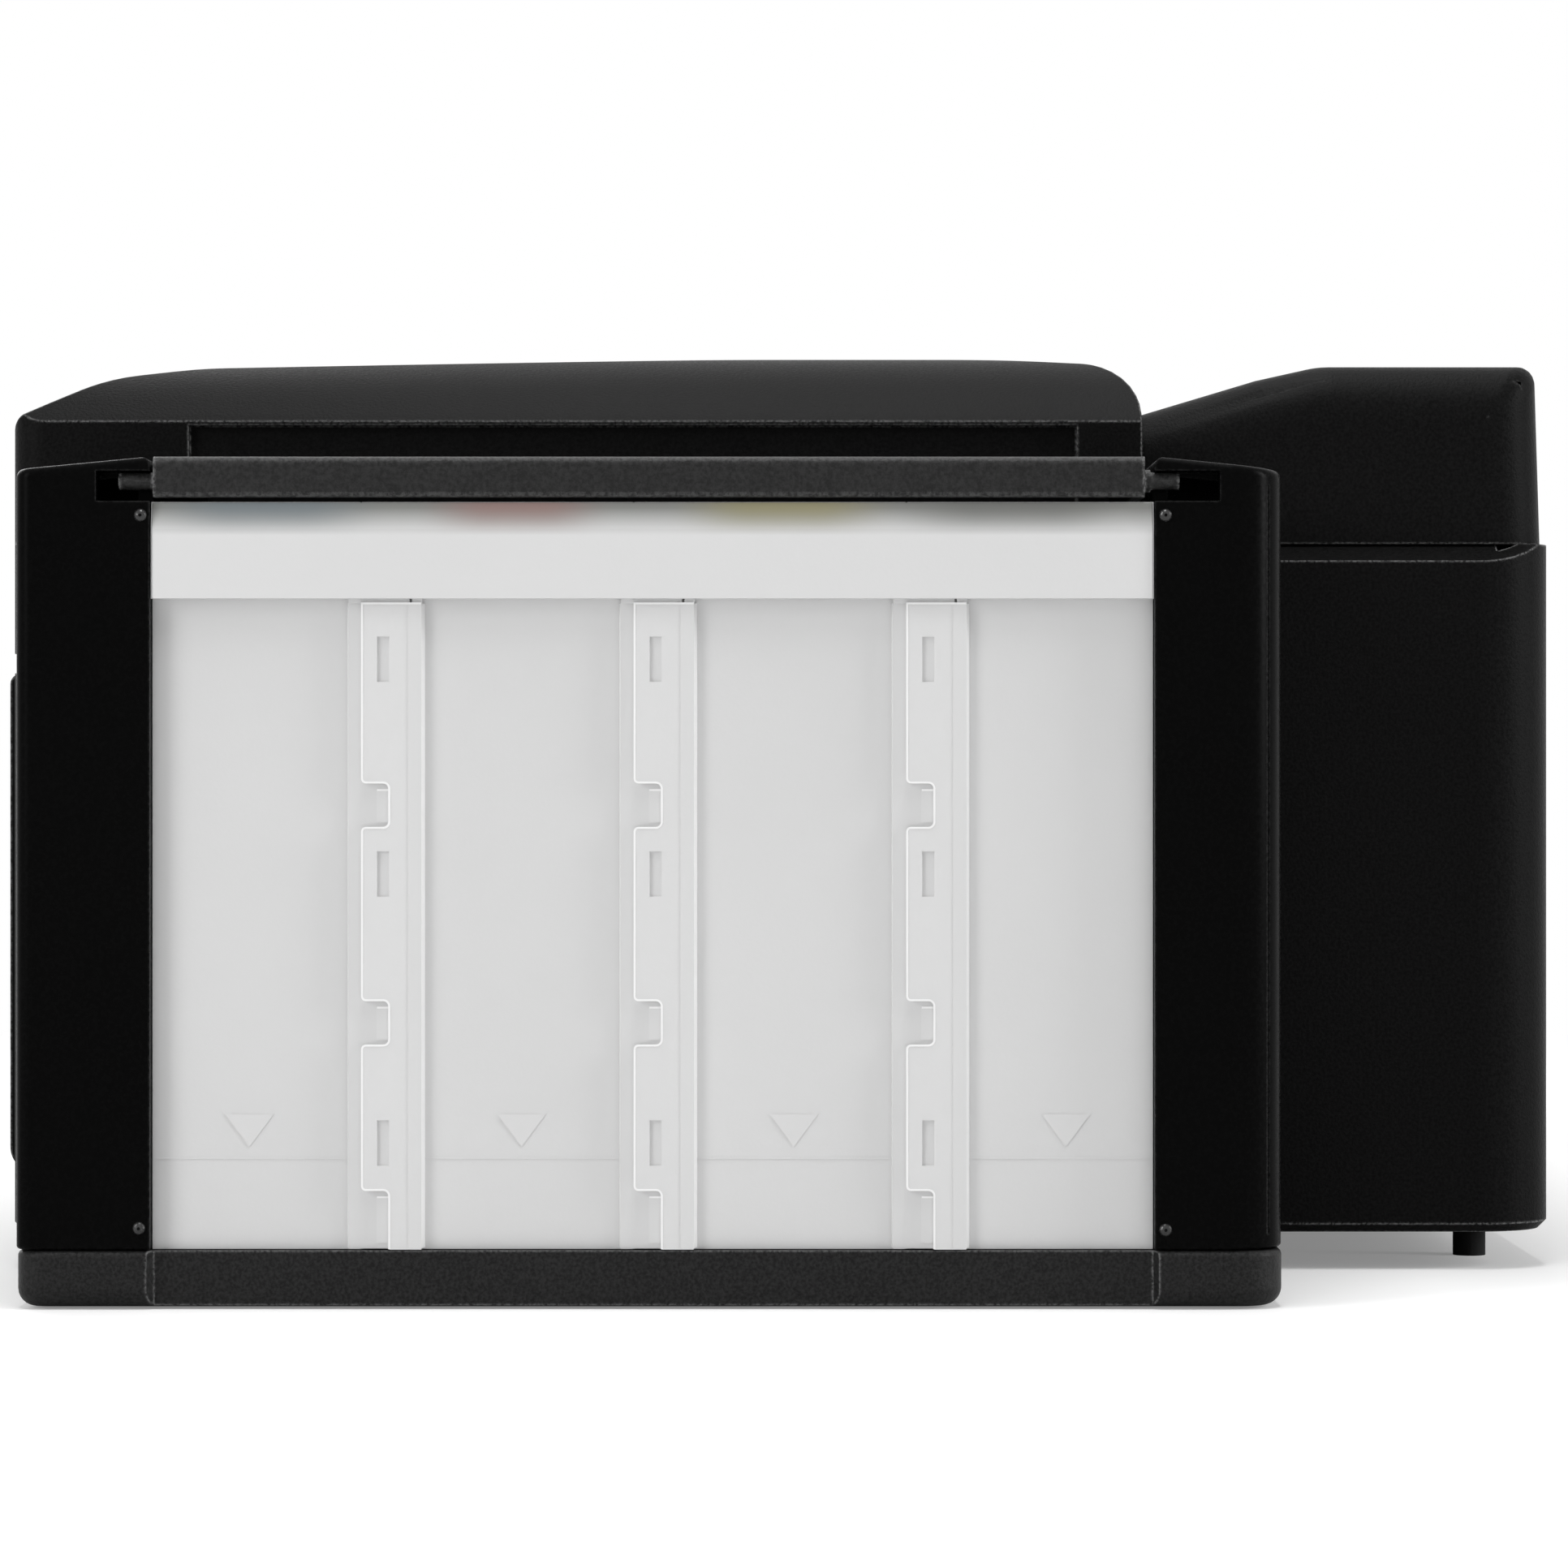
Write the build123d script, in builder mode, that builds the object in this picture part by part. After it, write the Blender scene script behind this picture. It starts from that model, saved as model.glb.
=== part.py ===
from build123d import *
import math
import os

# Main case: width runs along X, the front faces -Y, Z is up
case_left = -236.0
case_right = 176.0
case_front = -110.0
case_rear = 111.0
case_bottom = 5.4
case_split = 104.0
case_wall = 2.5
case_corner = 11.0
front_corner = 5.0
ledge_drop = 2.6
ledge_width = 5.0
gap = 0.4
run_gap = 0.05

# Crown of the upper case and the top cover let into it
crown_top = 132.0
crease = crown_top - 10.6
crown_front = crown_top - 2.0
crown_seam = crown_top - 1.6
crown_front_y = -84.0
crown_flat_y = -5.0
shoulder = 28.0
seam = 51.8
cover_left = -206.0
cover_right = 112.0
cover_front = -98.0
cover_axis_y = 41.0
cover_axis_z = crown_top - 11.5
cover_pin = 2.0
cover_lug = 4.6
cover_ribs = (cover_left + 56, (cover_left + cover_right) / 2, cover_right - 52)
panel_front = -91.0
panel_rear = -9.4
panel_margin = 10.0
panel_floor = crown_top - 2.75
panel_rise = 0.9
panel_gap = 0.1
side_recess = 1.2

# Rear feeder housing
feeder_inset = 4.0
feeder_rear = 110.2
feeder_top = crown_top - 2.0
feeder_lean = 0.8
feeder_floor = crown_top - 14.0
feeder_corner = 8.0
throat_front = 80.0
throat_rear = 102.0
support_axis_y = 104.5
support_axis_z = feeder_top - 4.0
support_front = 63.0
support_thickness = 2.6
support_pin = 1.2
extension_thickness = 1.2
extension_width = 110.0

# Paper and its path
paper_left = -141.0
paper_right = 75.0
paper_middle = (paper_left + paper_right) / 2
paper_plane = 38.5
feed_y = 14.0
feed_radius = 6.0
feed_z = paper_plane - feed_radius - 0.3
pinch_radius = 4.0
pinch_z = paper_plane + pinch_radius + 0.3
eject_y = -40.0
eject_radius = 5.0
eject_z = paper_plane - eject_radius - 0.3
star_radius = 5.0
star_z = paper_plane + star_radius + 0.3
shaft_radius = 2.5
thin_shaft = 1.2
hopper_top_y = 94.0
hopper_top_z = feeder_floor - 6.0
hopper_foot_y = 56.0
hopper_foot_z = 52.0
hopper_thickness = 1.6
pickup_radius = 12.0
pickup_gap = 4.4
pickup_along = 58.0

# Chassis and drive
side_plate_left = -216.0
side_plate_right = 84.0
plate_thickness = 1.2
back_plate_y = 26.0
back_plate_low = 60.0
back_plate_high = 96.0
motor_plate_end = 56.0
bush_radius = 4.0
leg_places = (-170.0, 140.0)
gear_plane = -226.0
gear_width = 5.0
gear_module = 0.8
pinion_teeth = 14
feed_teeth = 52
idler_teeth = 24
eject_teeth = 42
backlash = 0.12
rod_y = 12.0
rod_z = 80.0
rod_radius = 4.0
pulley_radius = 5.0
pulley_left = -205.0
pulley_right = 150.0
belt_thickness = 1.0
belt_width = 4.0
motor_radius = 13.0

# Print carriage, parked at the right
home_x = 127.0
carriage_width = 72.0
carriage_front = -31.0
head_bottom = paper_plane + 1.2

# Output tray, folded up over the front
door_left = -229.0
door_right = 169.0
door_front = -111.0
door_low = 13.6
door_high = 85.4
door_back = -104.2
door_skin = 2.5
door_axis_y = -107.0
door_axis_z = 18.0
door_round = 3.5
door_gap = 0.6
finger_gap = 2.8
exit_left = -190.0
exit_right = 104.0

# Ink tank unit hooked on the right side
unit_front = -101.07
unit_rear = 66.8
unit_inner = 178.0
unit_bottom = 0.3
base_top = 7.8
base_round = 2.4
base_edge = 0.8
casing_face = 235.4
front_casing_end = -83.2
rear_casing_end = 49.6
casing_top = 112.0
tank_count = 4
tank_pitch = 36.06
tank_start = -91.4
tank_bar = 7.95
tank_strip = 1.76
tank_back = 192.0
window_face = 233.0
bar_face = 234.2
band_face = 235.0
band_low = 94.0
band_high = 106.8
tank_wall = 1.5
tank_top = 97.5
neck_top = 100.5
cap_x = 214.0
cap_plug = 4.93
cap_bore = 3.4
cap_head = 8.0
lid_front = -82.8
lid_rear = 48.3
lid_top = 112.8
lid_skirt_low = 107.4
lid_axis_x = 233.4
lid_axis_z = 109.6
lid_pin = 1.15
hook_places = (-60.0, 0.0)
port_y = 32.0
knob_x = 206.0
knob_z = 40.0
slot_places = (86.0, 57.6, 22.0)
notch_depth = 3.6
notch_half = 3.0
notch_round = 0.8
notch_places = (66.7, 37.9)
notch_end = 15.8
cavity_width = 25.8

# Case screws, feet and the sockets in the rear wall
screw_places = [
    (case_left + 11.0, -90.0),
    (case_right - 11.0, -90.0),
    (case_left + 11.0, 96.0),
    (case_right - 11.0, 96.0),
]
column_radius = 4.5
column_bore = 3.0
screw_seat = 88.0
foot_places = [(-205.0, -85.0), (150.0, -85.0), (-205.0, 101.8), (150.0, 101.8)]
inlet_x = 130.0
inlet_z = 22.0
socket_x = -100.0
socket_z = 19.2
floor_top = case_bottom + case_wall

# Buttons on the crown, right of the top cover
button_x = 131.0
buttons = [("button_power", -70.0, 6.0), ("button_paper", -50.0, 4.5), ("button_ink", -33.0, 4.5)]
button_rise = 0.8
button_fit = 0.15
button_travel = 0.8
lens_x = 143.0
lens_radius = 1.2
board_top = crown_top - 11.0
cover_gap = 0.5

# Rollers, guides and carriage fits
recess_wall = 2.5
tray_slide_width = 120.0
end_plate = 165.0
carriage_back = -2.0
belt_front = 17.0
feed_edge = 6.5
chute_high = 48.0
pinch_places = [paper_left + 8 + step * 46.0 for step in range(5)]
pinch_length = 22.0
star_count = 8
head_gap = 1.0

# Ink hoses: radius, spacing and the planes that they run in
hose_radius = 1.6
hose_pitch = 3.8
hose_x = 186.0
hose_z = 78.0
hose_low = 14.0
hose_layer = 4.2
hose_slots = (2, 1, 0, 3)
loop_x = 168.6
loop_top = 108.0
outlet_offset = 20.9

# Casing pins beside the tanks, in Y and Z
pin_places = [(-84.4, 105.0), (51.0, 105.0), (-84.6, 10.8), (51.0, 10.6)]
pin_radius = 0.7


def block(x, y, z, mode=Mode.ADD):
    """Add or cut a box between two values along each axis."""
    with Locations(((x[0] + x[1]) / 2, (y[0] + y[1]) / 2, (z[0] + z[1]) / 2)):
        Box(x[1] - x[0], y[1] - y[0], z[1] - z[0], mode=mode)


def side_prism(points, x, mode=Mode.ADD):
    """Extrude a profile drawn in Y and Z along X."""
    with BuildSketch(Plane.YZ.offset(x[0])) as profile:
        with BuildLine():
            Polyline(*points, close=True)
        make_face()
    extrude(profile.sketch, amount=x[1] - x[0], mode=mode)


def front_prism(points, y, mode=Mode.ADD):
    """Extrude a profile drawn in X and Z along Y."""
    with BuildSketch(Plane.XZ.offset(-y[0])) as profile:
        with BuildLine():
            Polyline(*points, close=True)
        make_face()
    extrude(profile.sketch, amount=-(y[1] - y[0]), mode=mode)


def rod_x(y, z, radius, x, mode=Mode.ADD):
    """Add or cut a round bar that lies along X."""
    with BuildSketch(Plane.YZ.offset(x[0])) as disc:
        with Locations((y, z)):
            Circle(radius)
    extrude(disc.sketch, amount=x[1] - x[0], mode=mode)


def rod_y_axis(x, z, radius, y, mode=Mode.ADD):
    """Add or cut a round bar that lies along Y."""
    with BuildSketch(Plane.XZ.offset(-y[0])) as disc:
        with Locations((x, z)):
            Circle(radius)
    extrude(disc.sketch, amount=-(y[1] - y[0]), mode=mode)


def rod_z_axis(x, y, radius, z, mode=Mode.ADD):
    """Add or cut a round bar that stands along Z."""
    with BuildSketch(Plane.XY.offset(z[0])) as disc:
        with Locations((x, y)):
            Circle(radius)
    extrude(disc.sketch, amount=z[1] - z[0], mode=mode)


def plan_block(x, y, z, rear, front, mode=Mode.ADD):
    """Add or cut a box whose upright corners are rounded, rear and front apart."""
    with BuildSketch(Plane.XY.offset(z[0])) as plan:
        with Locations(((x[0] + x[1]) / 2, (y[0] + y[1]) / 2)):
            Rectangle(x[1] - x[0], y[1] - y[0])
        corners = plan.vertices().sort_by(Axis.Y)
        fillet(corners[2:], rear)
        fillet(plan.vertices().sort_by(Axis.Y)[:2], front)
    extrude(plan.sketch, amount=z[1] - z[0], mode=mode)


def save(part, name):
    """Label one finished piece and write it."""
    part.label = name
    export_step(part, f"parts/{name}.step")


def save_group(parts, name):
    """Write several finished solids that stay separate under one name."""
    group = Compound(label=name, children=list(parts))
    export_step(group, f"parts/{name}.step")


def make_lower_case():
    with BuildPart() as case:
        plan_block(
            (case_left, case_right), (case_front, case_rear),
            (case_bottom, case_split), case_corner, front_corner,
        )
        bottom = case.faces().sort_by(Axis.Z)[0]
        chamfer(bottom.edges(), 1.2)
        plan_block(
            (case_left + case_wall, case_right - case_wall),
            (case_front + case_wall, case_rear - case_wall),
            (case_bottom + case_wall, case_split + 1),
            case_corner - case_wall, front_corner - case_wall, Mode.SUBTRACT,
        )
        # Pocket that holds the folded tray, and the way out for the paper
        pocket_low = door_low - door_gap
        pocket_high = door_high + finger_gap
        pocket_back = door_back + 0.7
        block(
            (case_left + 1, case_right - 1), (case_front + case_wall, pocket_back + case_wall),
            (pocket_low - case_wall, pocket_high + case_wall),
        )
        block(
            (door_left - door_gap, door_right + door_gap), (door_front - 1, pocket_back),
            (pocket_low, pocket_high), Mode.SUBTRACT,
        )
        block(
            (door_left - door_gap, door_right + door_gap), (pocket_back - 1, pocket_back + 4),
            (pocket_low, door_axis_z + 7), Mode.SUBTRACT,
        )
        block(
            (exit_left, exit_right), (pocket_back - 1, pocket_back + 4),
            (pocket_low, door_high - 2), Mode.SUBTRACT,
        )
        block(
            (case_left - 1, case_right + 1), (door_front - 1, case_front + 3),
            (door_high, pocket_high), Mode.SUBTRACT,
        )
        # Hinge ears for the tray at both ends of the pocket
        for x in ((door_left - door_gap - 6, door_left - door_gap),
                  (door_right + door_gap, door_right + door_gap + 5)):
            block(x, (case_front + 1.2, pocket_back + case_wall),
                  (pocket_low - case_wall, door_axis_z + 7))
        rod_x(door_axis_y, door_axis_z, 1.5 + run_gap, (door_left - 5, door_right + 5),
              Mode.SUBTRACT)
        # Sloped ledge beside the feeder housing, on a flange that carries the housing
        for inner, outer in ((case_right - 5.6, case_right - 1), (case_left + 1, case_left + 5.6)):
            block((inner, outer), (seam, case_rear - 8), (case_split - 3.6, case_split))
        for outer, inner in ((case_right, case_right - ledge_width),
                             (case_left, case_left + ledge_width)):
            front_prism(
                [(inner, case_split + 0.01), (outer, case_split - ledge_drop),
                 (outer * 1.01, case_split - ledge_drop), (outer * 1.01, case_split + 0.01)],
                (seam, case_rear + 1), Mode.SUBTRACT,
            )
        # Columns that take the case screws from below
        for x, y in screw_places:
            rod_z_axis(x, y, column_radius, (case_bottom + 1.3, screw_seat + case_wall))
        for x, y in screw_places:
            rod_z_axis(x, y, column_bore, (case_bottom - 1, screw_seat), Mode.SUBTRACT)
            rod_z_axis(x, y, 1.7, (screw_seat - 1, screw_seat + 4), Mode.SUBTRACT)
        # Hook slots and hose port in the right wall
        for y in hook_places:
            block((case_right - 4, case_right + 1), (y - 8.5, y + 8.5), (60, 76),
                  Mode.SUBTRACT)
        block((case_right - 4, case_right + 1), (port_y - 9, port_y + 9), (66, 96),
              Mode.SUBTRACT)
        # Inlet and socket openings in the rear wall
        block((inlet_x - 11, inlet_x + 11), (case_rear - 4, case_rear + 1),
              (inlet_z - 7, inlet_z + 7), Mode.SUBTRACT)
        block((socket_x - 6.4, socket_x + 6.4), (case_rear - 4, case_rear + 1),
              (socket_z - 6, socket_z + 6), Mode.SUBTRACT)
        # Blind sockets for the feet
        for x, y in foot_places:
            rod_z_axis(x, y, 3.05, (case_bottom - 1, case_bottom + 1.5), Mode.SUBTRACT)
        # Deck that the printed sheet slides over, and posts for the chassis
        side_prism(
            [(eject_y - 6, 30), (pocket_back + 3.5, 17), (pocket_back + 3.5, 15),
             (eject_y - 6, 28)],
            (paper_left - 8, paper_right + 8),
        )
        for x in (paper_left - 4, paper_middle, paper_right + 4):
            block((x - 1.5, x + 1.5), (-98, eject_y - 7), (case_bottom + 1.3, 16.5))
            block((x - 1.5, x + 1.5), (eject_y - 12, eject_y - 7), (case_bottom + 1.3, 28.2))
    save(case.part, "lower_case")


def crown_side(inset):
    """Corner points of the case seen from the side, from the split line up."""
    return [
        (case_front + inset, case_split - 1), (case_front + inset, crease + 0.2 - 0.4 * inset),
        (cover_front + 1 + 0.5 * inset, crown_top - 3.8 - inset),
        (crown_front_y, crown_front - inset), (crown_flat_y, crown_top - inset),
        (30.0, crown_top - inset), (seam - inset, crown_seam - inset),
        (seam - inset, case_split - 1),
    ]


def crown_solid(inset):
    """The upper case as a full block, its outside drawn in by the inset."""
    left = case_left + inset
    right = case_right - inset
    top = crown_top + 0.2 - inset
    with BuildPart() as crown:
        with BuildSketch(Plane.YZ.offset(left)) as side:
            with BuildLine():
                Polyline(*crown_side(inset), close=True)
            make_face()
            radii = (3, 25, 60, 500, 200, 8.5)
            places = crown_side(inset)[1:7]
            for place, radius in zip(places, radii):
                near = side.vertices().sort_by_distance((place[0], place[1], 0))[0]
                fillet(near, radius)
        extrude(side.sketch, amount=right - left)
        with BuildSketch(Plane.XZ.offset(-(case_front - 5))) as front:
            with BuildLine():
                Line((left, crease - inset * 0.5), (left, case_split - 5))
                Line((left, case_split - 5), (right, case_split - 5))
                Line((right, case_split - 5), (right, crease - inset * 0.5))
                TangentArc((right - shoulder + inset, top), (right, crease - inset * 0.5),
                           tangent=(1, 0))
                Line((right - shoulder + inset, top), (left + shoulder - inset, top))
                TangentArc((left + shoulder - inset, top), (left, crease - inset * 0.5),
                           tangent=(-1, 0))
            make_face()
        extrude(front.sketch, amount=-(case_rear - case_front + 10), mode=Mode.INTERSECT)
        with BuildSketch(Plane.XY.offset(case_split)) as plan:
            with BuildLine():
                Polyline((left, case_front + inset), (right, case_front + inset),
                         (right, case_rear), (left, case_rear), close=True)
            make_face()
            fillet(plan.vertices().group_by(Axis.Y)[0], front_corner - min(inset, 2.5))
        extrude(plan.sketch, amount=crown_top - case_split + 12, mode=Mode.INTERSECT)
    return crown.part


def crown_height(y):
    """Height of the crown between its two long points."""
    share = (y - crown_front_y) / (crown_flat_y - crown_front_y)
    return crown_front + share * (crown_top - crown_front)


def make_upper_case():
    outer = crown_solid(0)
    inner = crown_solid(case_wall)
    with BuildPart() as case:
        add(outer)
        add(inner, mode=Mode.SUBTRACT)
        block(
            (cover_left - cover_gap, cover_right + cover_gap),
            (cover_front - cover_gap, seam + 5), (case_split + 2.5, crown_top + 5), Mode.SUBTRACT,
        )
        # Ledge under the front edge of the cover
        block((cover_left - 3, cover_right + 3),
              (case_front + case_wall - 0.5, cover_front + 4), (crease - 0.4, crease + 2.4))
        # Cheeks beside the opening carry the cover's hinge pins
        for x in ((cover_left - cover_gap - 2.5, cover_left - cover_gap),
                  (cover_right + cover_gap, cover_right + cover_gap + 2.5)):
            block(x, (cover_axis_y - 9, seam - 1), (case_split, crown_top - 2.2))
        rod_x(cover_axis_y, cover_axis_z, cover_pin + run_gap,
              (cover_left - 5, cover_right + 5), Mode.SUBTRACT)
        # Shallow recess in the side behind the tank unit
        block((case_right - side_recess, case_right + 1), (-84.5, 42.5),
              (case_split - 1, crease - 0.6), Mode.SUBTRACT)
        for name, y, radius in buttons:
            rod_z_axis(button_x, y, radius + button_fit, (crease, crown_top + 2), Mode.SUBTRACT)
            rod_z_axis(lens_x, y, lens_radius + run_gap, (crease, crown_top + 2), Mode.SUBTRACT)
        # Posts that hold the button board
        for x in (button_x - 10.5, button_x + 18):
            rod_z_axis(x, buttons[1][1], 1.6, (board_top, crown_top - 2.8))
        # Bosses for the case screws
        for x, y in screw_places[:2]:
            boss_top = crown_top - 14.0
            rod_z_axis(x, y, column_radius, (screw_seat + case_wall + gap, boss_top))
            side = case_right - case_wall if x > 0 else case_left + case_wall
            block((min(x, side), max(x, side)), (y - 1.5, y + 1.5), (case_split, boss_top))
            rod_z_axis(x, y, 1.3, (screw_seat, boss_top - 6), Mode.SUBTRACT)
    save(case.part, "upper_case")


def make_top_cover():
    outer = crown_solid(0)
    inner = crown_solid(case_wall)
    with BuildPart() as cover:
        add(outer)
        add(inner, mode=Mode.SUBTRACT)
        block((cover_left, cover_right), (cover_front, seam + 5), (crease - 5.4, crown_top + 5),
              Mode.INTERSECT)
        side_prism(
            [(panel_front - panel_gap, panel_floor - 0.04),
             (panel_rear + panel_gap, panel_floor + panel_rise - 0.04),
             (panel_rear + panel_gap, crown_top + 5), (panel_front - panel_gap, crown_top + 5)],
            (cover_left + panel_margin - panel_gap, cover_right - panel_margin + panel_gap),
            Mode.SUBTRACT,
        )
        for x, pin in (
            ((cover_left + 0.2, cover_left + 3), (cover_left - 2.8, cover_left + 3)),
            ((cover_right - 3, cover_right - 0.2), (cover_right - 3, cover_right + 2.8)),
        ):
            block(x, (cover_axis_y - cover_lug, cover_axis_y + cover_lug),
                  (cover_axis_z, crown_top - case_wall + 0.3))
            rod_x(cover_axis_y, cover_axis_z, cover_lug, x)
            rod_x(cover_axis_y, cover_axis_z, cover_pin, pin)
        # Ribs that stiffen the shell from below
        for x in cover_ribs:
            block((x - 0.8, x + 0.8), (cover_front + 18, cover_axis_y - 11),
                  (crown_top - 7.5, crown_top - 3.6))
    save(cover.part, "top_cover")


def make_ribbed_panel():
    with BuildPart() as panel:
        side_prism(
            [(panel_front, panel_floor), (panel_rear, panel_floor + panel_rise),
             (panel_rear, crown_top + 0.1), (panel_front + 3, crown_top - 0.9),
             (panel_front, crown_front)],
            (cover_left + panel_margin, cover_right - panel_margin),
        )
    save(panel.part, "ribbed_panel")


def make_buttons():
    for name, y, radius in buttons:
        top = crown_height(y)
        with BuildPart() as button:
            rod_z_axis(button_x, y, radius, (top - 3.4, top + button_rise))
            fillet(button.faces().sort_by(Axis.Z)[-1].edges(), 0.4)
            rod_z_axis(button_x, y, radius + 1.2, (top - 4.2, top - 3.2))
            rod_z_axis(button_x, y, 1.5, (top - 6.0, top - 4.0))
        save(button.part, name)
    with BuildPart() as lenses:
        for name, y, radius in buttons:
            top = crown_height(y)
            rod_z_axis(lens_x, y, lens_radius, (top - 2.4, top + 0.1))
    save(lenses.part, "indicator_lenses")
    with BuildPart() as board:
        block((button_x - 13, button_x + 20), (-80, -24), (board_top - 1.6, board_top))
        for name, y, radius in buttons:
            top = crown_height(y)
            block((button_x - 3, button_x + 3), (y - 3, y + 3),
                  (board_top, top - 6.0 - button_travel - 0.3))
    return board.part


def feeder_profile(inset):
    return [
        (seam + 0.2 + inset, case_split), (seam + 0.2 + inset, feeder_top - 7.1 - inset * 1.2),
        (69.0 + inset * 0.5, feeder_top - 2.0 - inset), (78.0, feeder_top - inset),
        (feeder_rear - feeder_lean - inset, feeder_top - inset), (feeder_rear - inset, 104.0),
    ]


def make_feeder_housing():
    left = case_left + feeder_inset
    right = case_right - feeder_inset
    inner_left = cover_left - recess_wall
    inner_right = cover_right + recess_wall
    with BuildPart() as housing:
        with BuildSketch(Plane.YZ.offset(left)) as side:
            with BuildLine():
                Polyline(*feeder_profile(0), close=True)
            make_face()
            for place, radius in ((feeder_profile(0)[3], 14), (feeder_profile(0)[4], 2.5)):
                near = side.vertices().sort_by_distance((place[0], place[1], 0))[0]
                fillet(near, radius)
        extrude(side.sketch, amount=right - left)
        upright = housing.edges().filter_by(lambda edge: abs(edge.center().Y - feeder_rear) < 2)
        upright = upright.filter_by(lambda edge: edge.length > 18).filter_by(
            lambda edge: abs(edge.center().Z - (case_split + feeder_top) / 2) < 6)
        fillet(upright, feeder_corner)
        # Three hollows, open below: under each cheek and under the paper recess
        for x in ((left + case_wall, inner_left), (inner_right, right - case_wall)):
            side_prism(feeder_profile(case_wall)[1:5]
                       + [(feeder_rear - case_wall - 2, case_split - 1),
                          (seam + 0.2 + case_wall, case_split - 1)], x, Mode.SUBTRACT)
        block((cover_left, cover_right), (seam - 1, feeder_rear - case_wall - 0.6),
              (case_split - 1, feeder_floor - case_wall), Mode.SUBTRACT)
        # Recess for the folded paper support
        block((cover_left, cover_right), (seam - 1, feeder_rear - case_wall),
              (feeder_floor, feeder_top + 1), Mode.SUBTRACT)
        block((cover_left, cover_right), (seam - 1, cover_axis_y + 15.0),
              (case_split - 1, feeder_top + 1), Mode.SUBTRACT)
        # Front wall of the recess, clear of the cover as it swings
        block((cover_left - 0.5, cover_right + 0.5), (cover_axis_y + 15, cover_axis_y + 17),
              (case_split, feeder_floor))
        # Throat for the paper, slot for the edge guide, bores for the support pins
        block((paper_left - 4, paper_right + 20), (throat_front, throat_rear),
              (feeder_floor - 5, feeder_floor + 1), Mode.SUBTRACT)
        block((paper_left + 90, paper_right + 20), (71, 74),
              (feeder_floor - 5, feeder_floor + 1), Mode.SUBTRACT)
        rod_x(support_axis_y, support_axis_z, support_pin + run_gap,
              (cover_left - 1.6, cover_right + 1.6), Mode.SUBTRACT)
        # Bosses for the rear case screws
        for x, y in screw_places[2:]:
            rod_z_axis(x, y, column_radius, (screw_seat + case_wall + gap, 120))
            block((x - 1, x + 1), (y, feeder_rear - case_wall + 1), (case_split, 120))
            rod_z_axis(x, y, 1.3, (screw_seat, 114), Mode.SUBTRACT)
        # Side plates below the floor carry the hopper's hinge
        for x in ((paper_left - 4.5, paper_left - 2), (paper_right + 2, paper_right + 4.5)):
            block(x, (hopper_top_y - 5, hopper_top_y + 12),
                  (hopper_top_z - 5, feeder_floor - case_wall + 0.5))
        rod_x(hopper_top_y, hopper_top_z, 1.5 + run_gap,
              (paper_left - 6, paper_right + 6), Mode.SUBTRACT)
    save(housing.part, "feeder_housing")


def make_paper_support():
    left = cover_left + 0.6
    right = cover_right - 0.6
    half = support_thickness / 2
    middle = paper_middle
    with BuildPart() as support:
        block((left, right), (support_front, support_axis_y),
              (support_axis_z - half, support_axis_z + half))
        rod_x(support_axis_y, support_axis_z, half, (left, right))
        rod_x(support_axis_y, support_axis_z, support_pin, (left - 1.8, right + 1.8))
        rail = extension_width / 2 + 0.3
        for side in (-1, 1):
            low = middle + side * rail
            high = middle + side * (rail + 2)
            lip = middle + side * (rail - 2.5)
            block((min(low, high), max(low, high)), (support_front + 4, 95),
                  (support_axis_z - half - 2.6, support_axis_z - half + 0.2))
            block((min(lip, high), max(lip, high)), (support_front + 4, 95),
                  (support_axis_z - half - 2.6, support_axis_z - half - 1.7))
    save(support.part, "paper_support")
    with BuildPart() as extension:
        block((middle - extension_width / 2, middle + extension_width / 2),
              (support_front + 1, 100),
              (support_axis_z - half - 0.2 - extension_thickness, support_axis_z - half - 0.2))
        corners = extension.edges().filter_by(Axis.Z).group_by(Axis.Y)[0]
        fillet(corners, 8)
    save(extension.part, "paper_support_extension")
    with BuildPart() as guide:
        block((paper_right + 1, paper_right + 2.6), (66, 101),
              (feeder_floor + 0.2, feeder_floor + 2.9))
        block((paper_right + 1, paper_right + 17), (66, 79),
              (feeder_floor + 0.2, feeder_floor + 1.6))
        block((paper_right + 4, paper_right + 14), (71.3, 73.7),
              (feeder_floor - 4, feeder_floor + 0.4))
    save(guide.part, "edge_guide")


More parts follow.
